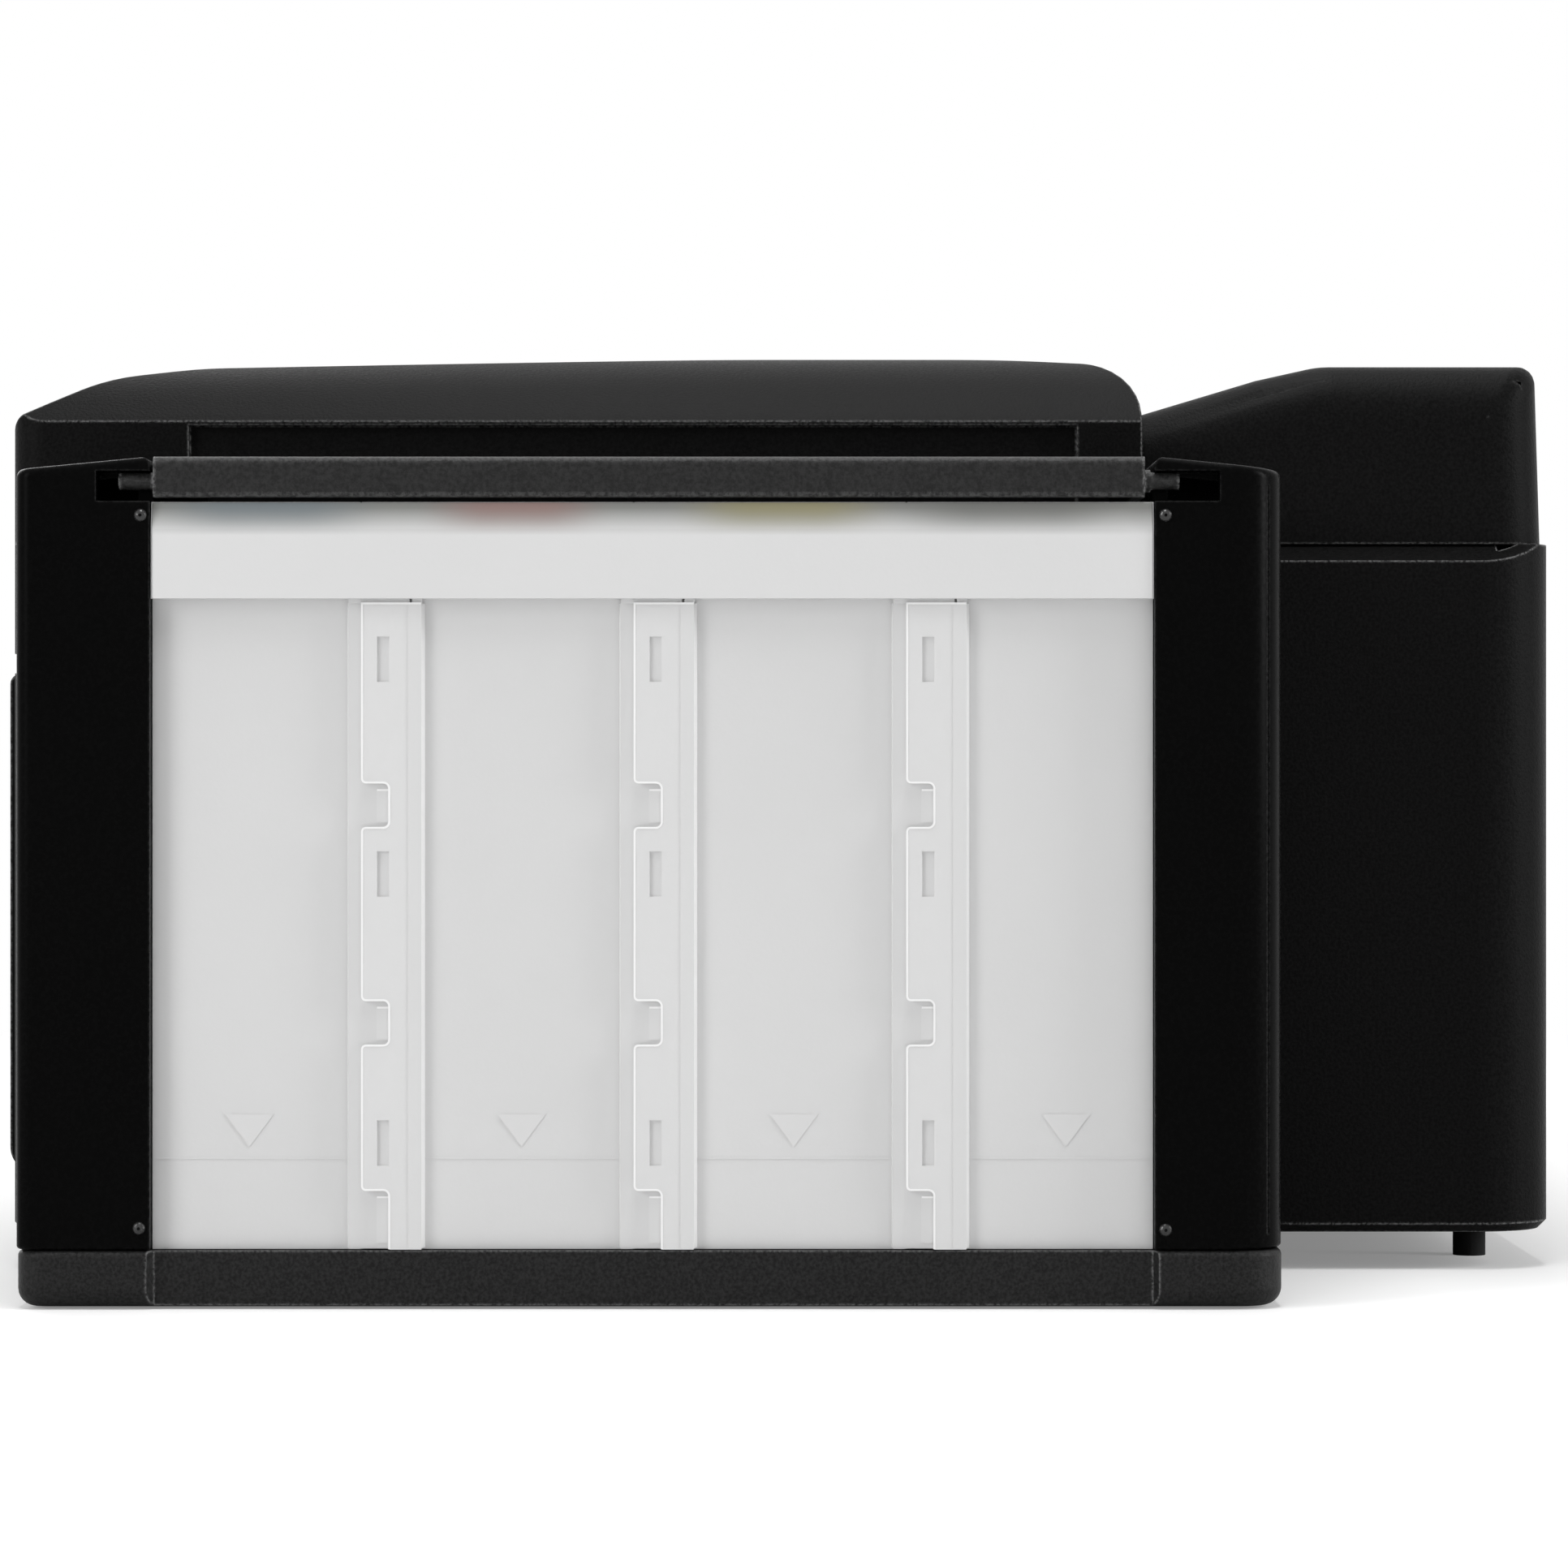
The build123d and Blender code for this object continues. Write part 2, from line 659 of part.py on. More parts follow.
def make_output_tray():
    inner = 2.5
    with BuildPart() as tray:
        block((door_left, door_right), (door_front, door_back), (door_low, door_high))
        low_edge = tray.edges().filter_by(Axis.X).sort_by_distance((0, door_front, door_low))[0]
        fillet(low_edge, door_round)
        top_edge = tray.edges().filter_by(Axis.X).sort_by_distance((0, door_front, door_high))[0]
        fillet(top_edge, 1.5)
        block((door_left + inner, door_right - inner), (door_front + door_skin, door_back + 1),
              (door_axis_z + 3.5, door_high - inner), Mode.SUBTRACT)
        # Rails along the inside hold the sliding extension
        rail = tray_slide_width / 2 + 0.4
        for side in (-1, 1):
            low = paper_middle + side * rail
            high = paper_middle + side * (rail + 2)
            lip = paper_middle + side * (rail - 2.4)
            block((min(low, high), max(low, high)),
                  (door_front + door_skin - 0.2, door_back - 0.6),
                  (door_axis_z + 8, door_high - 8))
            block((min(lip, high), max(lip, high)),
                  (door_front + door_skin + 2.4, door_back - 0.6),
                  (door_axis_z + 8, door_high - 8))
        block((paper_middle - tray_slide_width / 2 - 1, paper_middle + tray_slide_width / 2 + 1),
              (door_front + door_skin - 1, door_back + 1),
              (door_high - inner - 1, door_high + 1), Mode.SUBTRACT)
        for x in ((door_left - 4, door_left + 1), (door_right - 1, door_right + 4)):
            rod_x(door_axis_y, door_axis_z, 1.5, x)
    save(tray.part, "output_tray")
    with BuildPart() as slide:
        block((paper_middle - tray_slide_width / 2, paper_middle + tray_slide_width / 2),
              (door_front + door_skin + 0.3, door_front + door_skin + 2.1),
              (door_axis_z + 5, door_high))
        block((paper_middle - 18, paper_middle + 18),
              (door_front + door_skin + 0.3, door_back - 0.8), (door_high - 2, door_high))
    save(slide.part, "output_tray_extension")


def make_feet():
    with BuildPart() as feet:
        for x, y in foot_places:
            rod_z_axis(x, y, 2.4, (0, case_bottom))
            rod_z_axis(x, y, 4.2, (case_bottom - 0.8, case_bottom))
            rod_z_axis(x, y, 3.0, (case_bottom - 0.1, case_bottom + 1.4))
    save(feet.part, "rubber_feet")


def make_screws():
    with BuildPart() as screws:
        for x, y in screw_places:
            rod_z_axis(x, y, 2.8, (screw_seat - 2.2, screw_seat - 0.02))
            rod_z_axis(x, y, 1.25, (screw_seat - 0.1, screw_seat + 20))
            with BuildSketch(Plane.XY.offset(screw_seat - 2.3)) as cross:
                with Locations((x, y)):
                    Rectangle(3, 0.7)
                    Rectangle(0.7, 3)
            extrude(cross.sketch, amount=1.1, mode=Mode.SUBTRACT)
    save(screws.part, "case_screws")


def make_sockets():
    with BuildPart() as inlet:
        block((inlet_x - 10.7, inlet_x + 10.7), (case_rear - 16, case_rear - 0.4),
              (inlet_z - 6.7, inlet_z + 6.7))
        block((inlet_x - 12.5, inlet_x + 12.5), (case_rear - 16, case_rear - case_wall - 0.1),
              (inlet_z - 8.5, inlet_z + 8.5))
        with BuildSketch(Plane.XZ.offset(-(case_rear - 9))) as mouth:
            with Locations((inlet_x, inlet_z)):
                SlotOverall(16.5, 8.4)
        extrude(mouth.sketch, amount=-12, mode=Mode.SUBTRACT)
        for x in (inlet_x - 4.3, inlet_x + 4.3):
            rod_y_axis(x, inlet_z, 1.2, (case_rear - 10, case_rear - 2.5))
    save(inlet.part, "power_inlet")
    with BuildPart() as socket:
        block((socket_x - 6.0, socket_x + 6.0), (case_rear - 17, case_rear - 0.5),
              (socket_z - 5.4, socket_z + 5.4))
        block((socket_x - 4.3, socket_x + 4.3), (case_rear - 10, case_rear),
              (socket_z - 4.0, socket_z + 4.0), Mode.SUBTRACT)
        block((socket_x - 2.8, socket_x + 2.8), (case_rear - 11, case_rear - 2),
              (socket_z - 1.6, socket_z + 1.6))
    return socket.part


def make_electronics(socket, button_board):
    with BuildPart() as board:
        block((-150, -20), (50, case_rear - 18), (12.0, 13.6))
        block((socket_x - 5.8, socket_x + 5.8), (case_rear - 18.2, case_rear - 17.0),
              (12.0, 13.6))
        for x in (-144, -28):
            for y in (56, case_rear - 26):
                rod_z_axis(x, y, 2.6, (floor_top, 12.1))
        for x, y, w, d, h in ((-60, 70, 24, 24, 2.0), (-110, 66, 14, 18, 1.5),
                              (-36, 60, 12, 12, 9.0), (-136, 80, 8, 18, 7.0)):
            block((x - w / 2, x + w / 2), (y - d / 2, y + d / 2), (13.5, 13.6 + h))
    save_group((board.part, socket, button_board), "main_board")
    with BuildPart() as supply:
        block((82, 160), (50, case_rear - 20), (floor_top, 50.0))
        fillet(supply.edges().filter_by(Axis.Z), 3)
        for z in range(18, 46, 6):
            block((90, 152), (49, 51), (z, z + 2.5), Mode.SUBTRACT)
        block((inlet_x - 8, inlet_x + 8), (case_rear - 21, case_rear - 16.1),
              (inlet_z - 6, inlet_z + 6))
    save(supply.part, "power_supply")
    with BuildPart() as pad:
        block((95, 156), (-88, -48), (case_bottom + case_wall, 26))
        for x in range(102, 150, 10):
            block((x, x + 3), (-84, -52), (22, 27), Mode.SUBTRACT)
    save(pad.part, "waste_ink_pad")


def towards(start, end, length):
    """Point at a length from the start, on the way to the end."""
    whole = math.dist(start, end)
    return tuple(a + (b - a) * length / whole for a, b in zip(start, end))


def gear_centres():
    """Centres of pinion, idler and eject gear round the feed gear, in Y and Z."""
    feed = (feed_y, feed_z)
    eject = (eject_y, eject_z)
    reach = (pinion_teeth + feed_teeth) * gear_module / 2
    lean = math.radians(10)
    pinion = (feed_y + reach * math.cos(lean), feed_z + reach * math.sin(lean))
    near = (feed_teeth + idler_teeth) * gear_module / 2
    far = (idler_teeth + eject_teeth) * gear_module / 2
    apart = math.dist(feed, eject)
    along = (near**2 - far**2 + apart**2) / (2 * apart)
    rise = math.sqrt(near**2 - along**2)
    step = ((eject[0] - feed[0]) / apart, (eject[1] - feed[1]) / apart)
    idler = (feed[0] + step[0] * along + step[1] * rise,
             feed[1] + step[1] * along - step[0] * rise)
    return pinion, idler


def mesh_phase(centre, phase, teeth, other_centre, other_teeth):
    """Angle of a tooth of the second gear that meshes with the first one."""
    way = math.atan2(other_centre[1] - centre[1], other_centre[0] - centre[0])
    turn = (phase - way) / (2 * math.pi / teeth)
    return way + math.pi + (2 * math.pi / other_teeth) * (0.5 - turn)


def gear_outline(teeth, phase):
    """Points of a spur gear: root, two on the flank, tip, and back."""
    pitch = teeth * gear_module / 2
    half = math.pi / (2 * teeth) - backlash / 2 / pitch
    slope = math.tan(math.radians(20))
    points = []
    for tooth in range(teeth):
        middle = phase + tooth * 2 * math.pi / teeth
        stations = []
        for height in (-1.0 * gear_module, 0.0, 0.85 * gear_module):
            radius = pitch + height
            width = half * pitch - height * slope * (1.15 if height > 0 else 0.9)
            stations.append((radius, width / radius))
        for radius, angle in stations:
            points.append((radius, middle - angle))
        for radius, angle in reversed(stations):
            points.append((radius, middle + angle))
    return [(r * math.cos(a), r * math.sin(a)) for r, a in points]


def add_gear(centre, teeth, phase, x):
    """Add a spur gear whose axis lies along X."""
    with BuildSketch(Plane.YZ.offset(x[0])) as sketch:
        with BuildLine():
            outline = gear_outline(teeth, phase)
            Polyline(*[(centre[0] + a, centre[1] + b) for a, b in outline], close=True)
        make_face()
    extrude(sketch.sketch, amount=x[1] - x[0])


def plate(outline, x):
    """Flat upright chassis plate that faces sideways."""
    with BuildPart() as sheet:
        side_prism(outline, (x, x + plate_thickness))
        for y, z in ((feed_y, feed_z), (eject_y, eject_z)):
            rod_x(y, z, bush_radius + run_gap, (x - 1, x + 2), Mode.SUBTRACT)
        rod_x(rod_y, rod_z, rod_radius + run_gap, (x - 1, x + 2), Mode.SUBTRACT)
        pinion = gear_centres()[0]
        rod_x(pinion[0], pinion[1], 4.0, (x - 1, x + 2), Mode.SUBTRACT)
    return sheet.part


def bush(y, z, x):
    """Flanged plastic bush pressed into a chassis plate."""
    with BuildPart() as ring:
        rod_x(y, z, bush_radius, (x - 0.8, x + plate_thickness + 0.8))
        rod_x(y, z, bush_radius + 1.1, (x - 1.2, x - 0.1))
        rod_x(y, z, shaft_radius + run_gap, (x - 2, x + 4), Mode.SUBTRACT)
    return ring.part


def make_chassis():
    idler = gear_centres()[1]
    left = side_plate_left
    right = side_plate_right
    back = back_plate_y + plate_thickness
    # Left plate carries the gears and the feed motor
    left_plate = plate(
        [(eject_y - 8, floor_top), (motor_plate_end, floor_top), (motor_plate_end, 54),
         (back, 54), (back, 90), (2, 90), (-8, 58), (eject_y - 8, 54)], left,
    )
    # Right plate stays low where the carriage passes over
    right_plate = plate(
        [(eject_y - 8, floor_top), (back_plate_y, floor_top), (back_plate_y, 61.5), (6, 56),
         (4, 37.5), (-32, 37.5), (-33, 54), (eject_y - 8, 54)], right,
    )
    with BuildPart() as back_plate:
        block((left + plate_thickness, end_plate + plate_thickness), (back_plate_y, back),
              (back_plate_low, back_plate_high))
        rod_y_axis(pulley_right, rod_z, 4.0, (back_plate_y - 1, back + 1), Mode.SUBTRACT)
    with BuildPart() as rod_plate:
        block((end_plate, end_plate + plate_thickness), (0, back_plate_y),
              (back_plate_low + 4, back_plate_high - 4))
        rod_x(rod_y, rod_z, rod_radius + run_gap, (end_plate - 1, end_plate + 3), Mode.SUBTRACT)
    pickup = pickup_centre()
    brackets = []
    for x in (paper_left - 20, right + 4):
        with BuildPart() as bracket:
            block((x, x + plate_thickness), (back, pickup[0] + 5), (pickup[1] - 7, pickup[1] + 7))
            rod_x(pickup[0], pickup[1], shaft_radius + run_gap, (x - 1, x + 3), Mode.SUBTRACT)
        brackets.append(bracket.part)
    legs = []
    for x in leg_places:
        with BuildPart() as leg:
            block((x, x + 14), (back_plate_y, back), (floor_top, back_plate_low))
            block((x, x + 14), (back_plate_y, back_plate_y + 9),
                  (floor_top, floor_top + plate_thickness))
        legs.append(leg.part)
    with BuildPart() as idler_stud:
        rod_x(idler[0], idler[1], 2.0, (gear_plane - 1, left))
    with BuildPart() as pulley_stud:
        rod_y_axis(pulley_left, rod_z, 1.5, (belt_front - 0.6, back_plate_y))
    bushes = [bush(y, z, x) for y, z in ((feed_y, feed_z), (eject_y, eject_z))
              for x in (left, right)]
    save_group([left_plate, right_plate, back_plate.part, rod_plate.part, *brackets, *legs,
                idler_stud.part, pulley_stud.part, *bushes], "chassis")


def pickup_centre():
    """Centre of the pickup roller, off the face of the hopper plate."""
    top = (hopper_top_y, hopper_top_z)
    foot = (hopper_foot_y, hopper_foot_z)
    place = towards(top, foot, pickup_along)
    length = math.dist(top, foot)
    normal = ((foot[1] - top[1]) / length, (top[0] - foot[0]) / length)
    reach = pickup_radius + pickup_gap
    return (place[0] + normal[0] * reach, place[1] + normal[1] * reach)


def make_paper_feed():
    top = (hopper_top_y, hopper_top_z)
    foot = (hopper_foot_y, hopper_foot_z)
    length = math.dist(top, foot)
    back = ((top[1] - foot[1]) / length * hopper_thickness,
            (foot[0] - top[0]) / length * hopper_thickness)
    with BuildPart() as hopper:
        side_prism(
            [top, foot, (foot[0] + back[0], foot[1] + back[1]),
             (top[0] + back[0], top[1] + back[1])],
            (paper_left - 1, paper_right + 1),
        )
        rod_x(hopper_top_y, hopper_top_z, 2.4, (paper_left - 1, paper_right + 1))
        rod_x(hopper_top_y, hopper_top_z, 1.5, (paper_left - 4, paper_right + 4))
    save(hopper.part, "hopper_plate")
    y, z = pickup_centre()
    with BuildPart() as pickup:
        rod_x(y, z, shaft_radius, (paper_left - 24, side_plate_right + 9))
        for x in (-75.0, -20.0):
            rod_x(y, z, pickup_radius, (x, x + 26))
            rod_x(y, z, pickup_radius - 3, (x - 3, x + 29))
        rod_x(y, z, shaft_radius + 2, (paper_left - 18.4, paper_left - 12))
        rod_x(y, z, shaft_radius + 2, (side_plate_right - 4, side_plate_right + 3.6))
    save(pickup.part, "pickup_roller")
    with BuildPart() as chute:
        side_prism(
            [(60, chute_high), (44, 41), (feed_y + feed_edge, paper_plane - 0.7),
             (feed_y + feed_edge, paper_plane - 2.4), (44, 39.2), (60, chute_high - 1.9)],
            (paper_left, paper_right),
        )
        for x in (-120.0, -33.0, 48.0):
            block((x, x + 2), (25, 45), (floor_top, 36.8))
            side_prism([(25, 36), (45, 36), (45, 40.2), (25, 37.4)], (x, x + 2))
    with BuildPart() as pad:
        rise = (chute_high - 41) / 16
        side_prism(
            [(47, 41 + 3 * rise + 0.02), (57, 41 + 13 * rise + 0.02),
             (57, 41 + 13 * rise + 1.2), (47, 41 + 3 * rise + 1.2)],
            (-62, -7),
        )
    save_group((chute.part, pad.part), "paper_chute")


def make_rollers():
    pinion, idler = gear_centres()
    left = side_plate_left
    gear = (gear_plane, gear_plane + gear_width)
    feed = (feed_y, feed_z)
    with BuildPart() as roller:
        rod_x(feed_y, feed_z, shaft_radius, (gear_plane - 3, side_plate_right + 5))
        rod_x(feed_y, feed_z, feed_radius, (paper_left - 2, paper_right + 2))
    save(roller.part, "feed_roller")
    with BuildPart() as large:
        add_gear(feed, feed_teeth, 0, gear)
        rod_x(feed_y, feed_z, 6, (gear_plane - 2, gear_plane + gear_width + 1))
        for angle in range(0, 360, 60):
            a = math.radians(angle)
            rod_x(feed_y + 13 * math.cos(a), feed_z + 13 * math.sin(a), 4,
                  (gear_plane - 1, gear_plane + gear_width + 1), Mode.SUBTRACT)
        rod_x(feed_y, feed_z, shaft_radius + 0.01,
              (gear_plane - 3, gear_plane + gear_width + 2), Mode.SUBTRACT)
    save(large.part, "feed_gear")
    with BuildPart() as small:
        add_gear(pinion, pinion_teeth, mesh_phase(feed, 0, feed_teeth, pinion, pinion_teeth),
                 gear)
        rod_x(pinion[0], pinion[1], 1.0, (gear_plane + 1, left - 0.4), Mode.SUBTRACT)
        rod_x(pinion[0], pinion[1], 2.6, (gear_plane + gear_width, left - 1.4))
        rod_x(pinion[0], pinion[1], 1.0 + run_gap, (gear_plane - 1, left), Mode.SUBTRACT)
    save(small.part, "feed_motor_pinion")
    with BuildPart() as motor:
        rod_x(pinion[0], pinion[1], motor_radius, (left + plate_thickness + 0.05, left + 28))
        rod_x(pinion[0], pinion[1], 3.5, (left + 28, left + 30))
        rod_x(pinion[0], pinion[1], 3.6, (left - 0.6, left + 2))
        rod_x(pinion[0], pinion[1], 1.0, (gear_plane - 0.5, left + 5))
    save(motor.part, "feed_motor")
    idler_phase = mesh_phase(feed, 0, feed_teeth, idler, idler_teeth)
    with BuildPart() as middle:
        add_gear(idler, idler_teeth, idler_phase, gear)
        rod_x(idler[0], idler[1], 4, (gear_plane, left - 0.6))
        rod_x(idler[0], idler[1], 2.0 + run_gap, (gear_plane - 2, left), Mode.SUBTRACT)
    save(middle.part, "idler_gear")
    eject = (eject_y, eject_z)
    with BuildPart() as gear_out:
        add_gear(eject, eject_teeth,
                 mesh_phase(idler, idler_phase, idler_teeth, eject, eject_teeth), gear)
        rod_x(eject_y, eject_z, 5, (gear_plane - 1, gear_plane + gear_width + 1))
        rod_x(eject_y, eject_z, shaft_radius + 0.01,
              (gear_plane - 3, gear_plane + gear_width + 2), Mode.SUBTRACT)
    save(gear_out.part, "eject_gear")
    with BuildPart() as out:
        rod_x(eject_y, eject_z, shaft_radius, (gear_plane - 2, side_plate_right + 5))
        for step in range(6):
            x = paper_left + 12 + step * (paper_right - paper_left - 34) / 5
            rod_x(eject_y, eject_z, eject_radius, (x, x + 10))
    save(out.part, "eject_roller")


def make_paper_guides():
    with BuildPart() as holder:
        side_prism(
            [(back_plate_y - 0.02, 66), (back_plate_y - 0.02, 58), (19, 50), (8, 48.4),
             (8, 50), (18, 51.6), (24.4, 58.7), (24.4, 66)],
            (paper_left - 3, paper_right + 3),
        )
        for x in [paper_left - 3, paper_right + 1] + [place - 4.5 for place in pinch_places[1:]]:
            block((x, x + 2), (feed_y - 3.5, feed_y + 3.5), (pinch_z - 2.4, 50.4))
        rod_x(feed_y, pinch_z, thin_shaft + run_gap, (paper_left - 5, paper_right + 5),
              Mode.SUBTRACT)
    with BuildPart() as pinch:
        rod_x(feed_y, pinch_z, thin_shaft, (paper_left - 3.5, paper_right + 3.5))
        for x in pinch_places:
            rod_x(feed_y, pinch_z, pinch_radius, (x, x + pinch_length))
    save(pinch.part, "pinch_rollers")
    with BuildPart() as beam:
        block((side_plate_left + plate_thickness, side_plate_right), (eject_y - 6, eject_y + 6),
              (star_z + 6.4, star_z + 8.4))
        block((side_plate_left + plate_thickness, side_plate_right), (eject_y - 6, eject_y - 4.6),
              (star_z + 2, star_z + 8.4))
        for step in range(star_count + 1):
            x = paper_left + 1 + step * (paper_right - paper_left - 4) / star_count
            block((x, x + 2), (eject_y - 3, eject_y + 3), (star_z - 2.4, star_z + 6.6))
        rod_x(eject_y, star_z, thin_shaft + run_gap, (paper_left - 5, paper_right + 5),
              Mode.SUBTRACT)
    save_group((holder.part, beam.part), "roller_holders")
    with BuildPart() as stars:
        rod_x(eject_y, star_z, thin_shaft, (paper_left - 0.5, paper_right - 1))
        for step in range(star_count):
            x = paper_left + 14 + step * (paper_right - paper_left - 4) / star_count
            with BuildSketch(Plane.YZ.offset(x)) as star:
                with Locations((eject_y, star_z)):
                    with PolarLocations(0, 14):
                        Polygon((0, -1.3), (star_radius, 0), (0, 1.3), align=None)
                    Circle(2.6)
            extrude(star.sketch, amount=0.6)
            rod_x(eject_y, star_z, 2.2, (x - 1.5, x + 2.1))
    save(stars.part, "star_wheels")
    with BuildPart() as platen:
        block((side_plate_left + plate_thickness, side_plate_right), (-33.5, feed_y - feed_edge),
              (paper_plane - 5.5, paper_plane - 3.5))
        for x in (-214.0, side_plate_right - 2.8):
            block((x, x + 2), (-33.5, feed_y - feed_edge), (paper_plane - 12, paper_plane - 4))
        step = (paper_right - paper_left) / 18
        for rib in range(19):
            x = paper_left + rib * step
            block((x - 0.6, x + 0.6), (-33.5, feed_y - feed_edge),
                  (paper_plane - 4, paper_plane - 0.5))
    save(platen.part, "platen")


def make_belt_drive():
    with BuildPart() as rod:
        rod_x(rod_y, rod_z, rod_radius, (side_plate_left - 4, end_plate + 4))
    save(rod.part, "guide_rod")
    with BuildPart() as belt:
        for radius, mode in ((pulley_radius + belt_thickness, Mode.ADD),
                             (pulley_radius, Mode.SUBTRACT)):
            with BuildSketch(Plane.XZ.offset(-belt_front)) as loop:
                with Locations(((pulley_left + pulley_right) / 2, rod_z)):
                    SlotCenterToCenter(pulley_right - pulley_left, 2 * radius)
            extrude(loop.sketch, amount=-belt_width, mode=mode)
    save(belt.part, "timing_belt")
    for name, x in (("idler_pulley", pulley_left), ("motor_pulley", pulley_right)):
        with BuildPart() as pulley:
            with BuildSketch(Plane.XZ.offset(-(belt_front - 0.3))) as wheel:
                with Locations((x, rod_z)):
                    Circle(pulley_radius - 0.4)
                with Locations((x, rod_z)):
                    with PolarLocations(pulley_radius - 0.35, 16):
                        Circle(0.45, mode=Mode.SUBTRACT)
            extrude(wheel.sketch, amount=-(belt_width + 0.6))
            for y in (belt_front - 0.7, belt_front + belt_width + 0.3):
                rod_y_axis(x, rod_z, pulley_radius + 1.5, (y, y + 0.4))
            rod_y_axis(x, rod_z, 1.5 + run_gap, (belt_front - 2, belt_front + 8),
                       Mode.SUBTRACT)
        save(pulley.part, name)
    with BuildPart() as motor:
        rod_y_axis(pulley_right, rod_z, motor_radius,
                   (back_plate_y + plate_thickness + 0.02, back_plate_y + 30))
        rod_y_axis(pulley_right, rod_z, 3.8, (back_plate_y - 0.6, back_plate_y + 3))
        rod_y_axis(pulley_right, rod_z, 1.5, (belt_front - 0.6, back_plate_y + 3))
        rod_y_axis(pulley_right, rod_z, 4.5, (back_plate_y + 29, back_plate_y + 32))
    save(motor.part, "carriage_motor")
    with BuildPart() as strip:
        block((side_plate_left + plate_thickness, end_plate), (23.2, 23.5), (63, 69))
    save(strip.part, "encoder_strip")


def make_carriage():
    left = home_x - carriage_width / 2
    right = home_x + carriage_width / 2
    with BuildPart() as carriage:
        block((left, right), (carriage_front, carriage_back), (42.6, 76))
        block((left + 2, right - 2), (carriage_front + 2, carriage_back - 2), (45, 77),
              Mode.SUBTRACT)
        block((left + 7.8, right - 7.8), (carriage_front + 3.8, carriage_back - 3.8), (42, 46),
              Mode.SUBTRACT)
        # Bearing block that runs on the rod
        block((left, right), (carriage_back - 2, belt_front - 0.9), (70, rod_z + 8))
        rod_x(rod_y, rod_z, rod_radius + run_gap, (left - 1, right + 1), Mode.SUBTRACT)
        # Arm over the belt to the top edge of the back plate
        block((left + 10, right - 10), (3, back_plate_y + 4), (rod_z + 7.6, rod_z + 11))
        block((left + 10, right - 10), (back_plate_y - 3.4, back_plate_y + 4),
              (rod_z + 9, back_plate_high + 3))
        block((left + 9, right - 9),
              (back_plate_y - run_gap * 4, back_plate_y + plate_thickness + run_gap * 4),
              (rod_z, back_plate_high + 0.4), Mode.SUBTRACT)
        block((left + 9, right - 9), (back_plate_y + plate_thickness, back_plate_y + 5),
              (rod_z, back_plate_high - 1.8), Mode.SUBTRACT)
        # Clamp round the lower run of the belt
        block((home_x - 7, home_x + 7), (belt_front - 3, belt_front + belt_width + 1.4),
              (rod_z - 8.4, rod_z - 3.2))
        block((home_x - 8, home_x + 8), (belt_front - 0.3, belt_front + belt_width + 0.3),
              (rod_z - pulley_radius - belt_thickness - 0.2, rod_z - pulley_radius + 0.2),
              Mode.SUBTRACT)
        block((home_x - 9, home_x + 9), (belt_front - 3, belt_front - 0.3),
              (rod_z - 8.4, rod_z - 3))
        rod_x(rod_y, rod_z, rod_radius + run_gap, (left - 1, right + 1), Mode.SUBTRACT)
    save(carriage.part, "carriage")
    with BuildPart() as head:
        block((left + 8, right - 8), (carriage_front + 4, carriage_back - 4), (head_bottom + 1, 46.5))
        block((left + 16, right - 16), (carriage_front + 7, carriage_back - 7),
              (head_bottom, head_bottom + 2))
    with BuildPart() as dampers:
        pitch = (carriage_width - 8) / tank_count
        for step in range(tank_count):
            x = left + 4 + step * pitch
            block((x + 0.6, x + pitch - 0.6), (carriage_front + 3, carriage_back - 3), (46.5, 70))
            rod_z_axis(x + pitch / 2, carriage_front + 9, 2.2, (69, 74))
    with BuildPart() as cover:
        block((left, right), (carriage_front, carriage_back - 2.2), (76, 78))
        for step in range(tank_count):
            x = left + 4 + (step + 0.5) * pitch
            rod_z_axis(x, carriage_front + 9, 2.0, (75, 79), Mode.SUBTRACT)
        block((left + 12, right - 12), (carriage_front + 15, carriage_back - 5), (77.8, 80))
    save_group((head.part, dampers.part, cover.part), "print_head")


def make_maintenance():
    left = home_x - carriage_width / 2
    right = home_x + carriage_width / 2
    rim = head_bottom - head_gap
    with BuildPart() as station:
        block((left - 4, right + 2), (carriage_front - 1, carriage_back + 1), (floor_top, 30))
        block((left - 2, right), (carriage_front + 1, carriage_back - 1), (22, 31),
              Mode.SUBTRACT)
        block((left + 12, right - 12), (carriage_front + 5, carriage_back - 5), (floor_top, rim - 2))
        block((left - 2.4, left + 0.6), (carriage_front + 4, carriage_back - 4), (floor_top, rim - 4))
    with BuildPart() as rubber:
        block((left + 14, right - 14), (carriage_front + 6, carriage_back - 6), (rim - 2, rim))
        block((left + 15.4, right - 15.4), (carriage_front + 7.4, carriage_back - 7.4),
              (rim - 1.5, rim + 1), Mode.SUBTRACT)
        block((left - 1.3, left - 0.5), (carriage_front + 5, carriage_back - 5), (rim - 4, rim))
    save_group((station.part, rubber.part), "cap_station")


def tube_line(points, radius, bend):
    """Sweep a round tube along straight runs joined by arcs."""
    with BuildPart() as tube:
        with BuildLine() as path:
            FilletPolyline(*points, radius=bend)
        with BuildSketch(Plane(origin=path.line @ 0, z_dir=path.line % 0)):
            Circle(radius)
        sweep()
    return tube.part


def port_place(index):
    """Place along Y where a hose passes through the wall of the case."""
    return port_y + (hose_slots[index] - (tank_count - 1) / 2) * hose_pitch


def tank_begin(index):
    return tank_start + index * tank_pitch


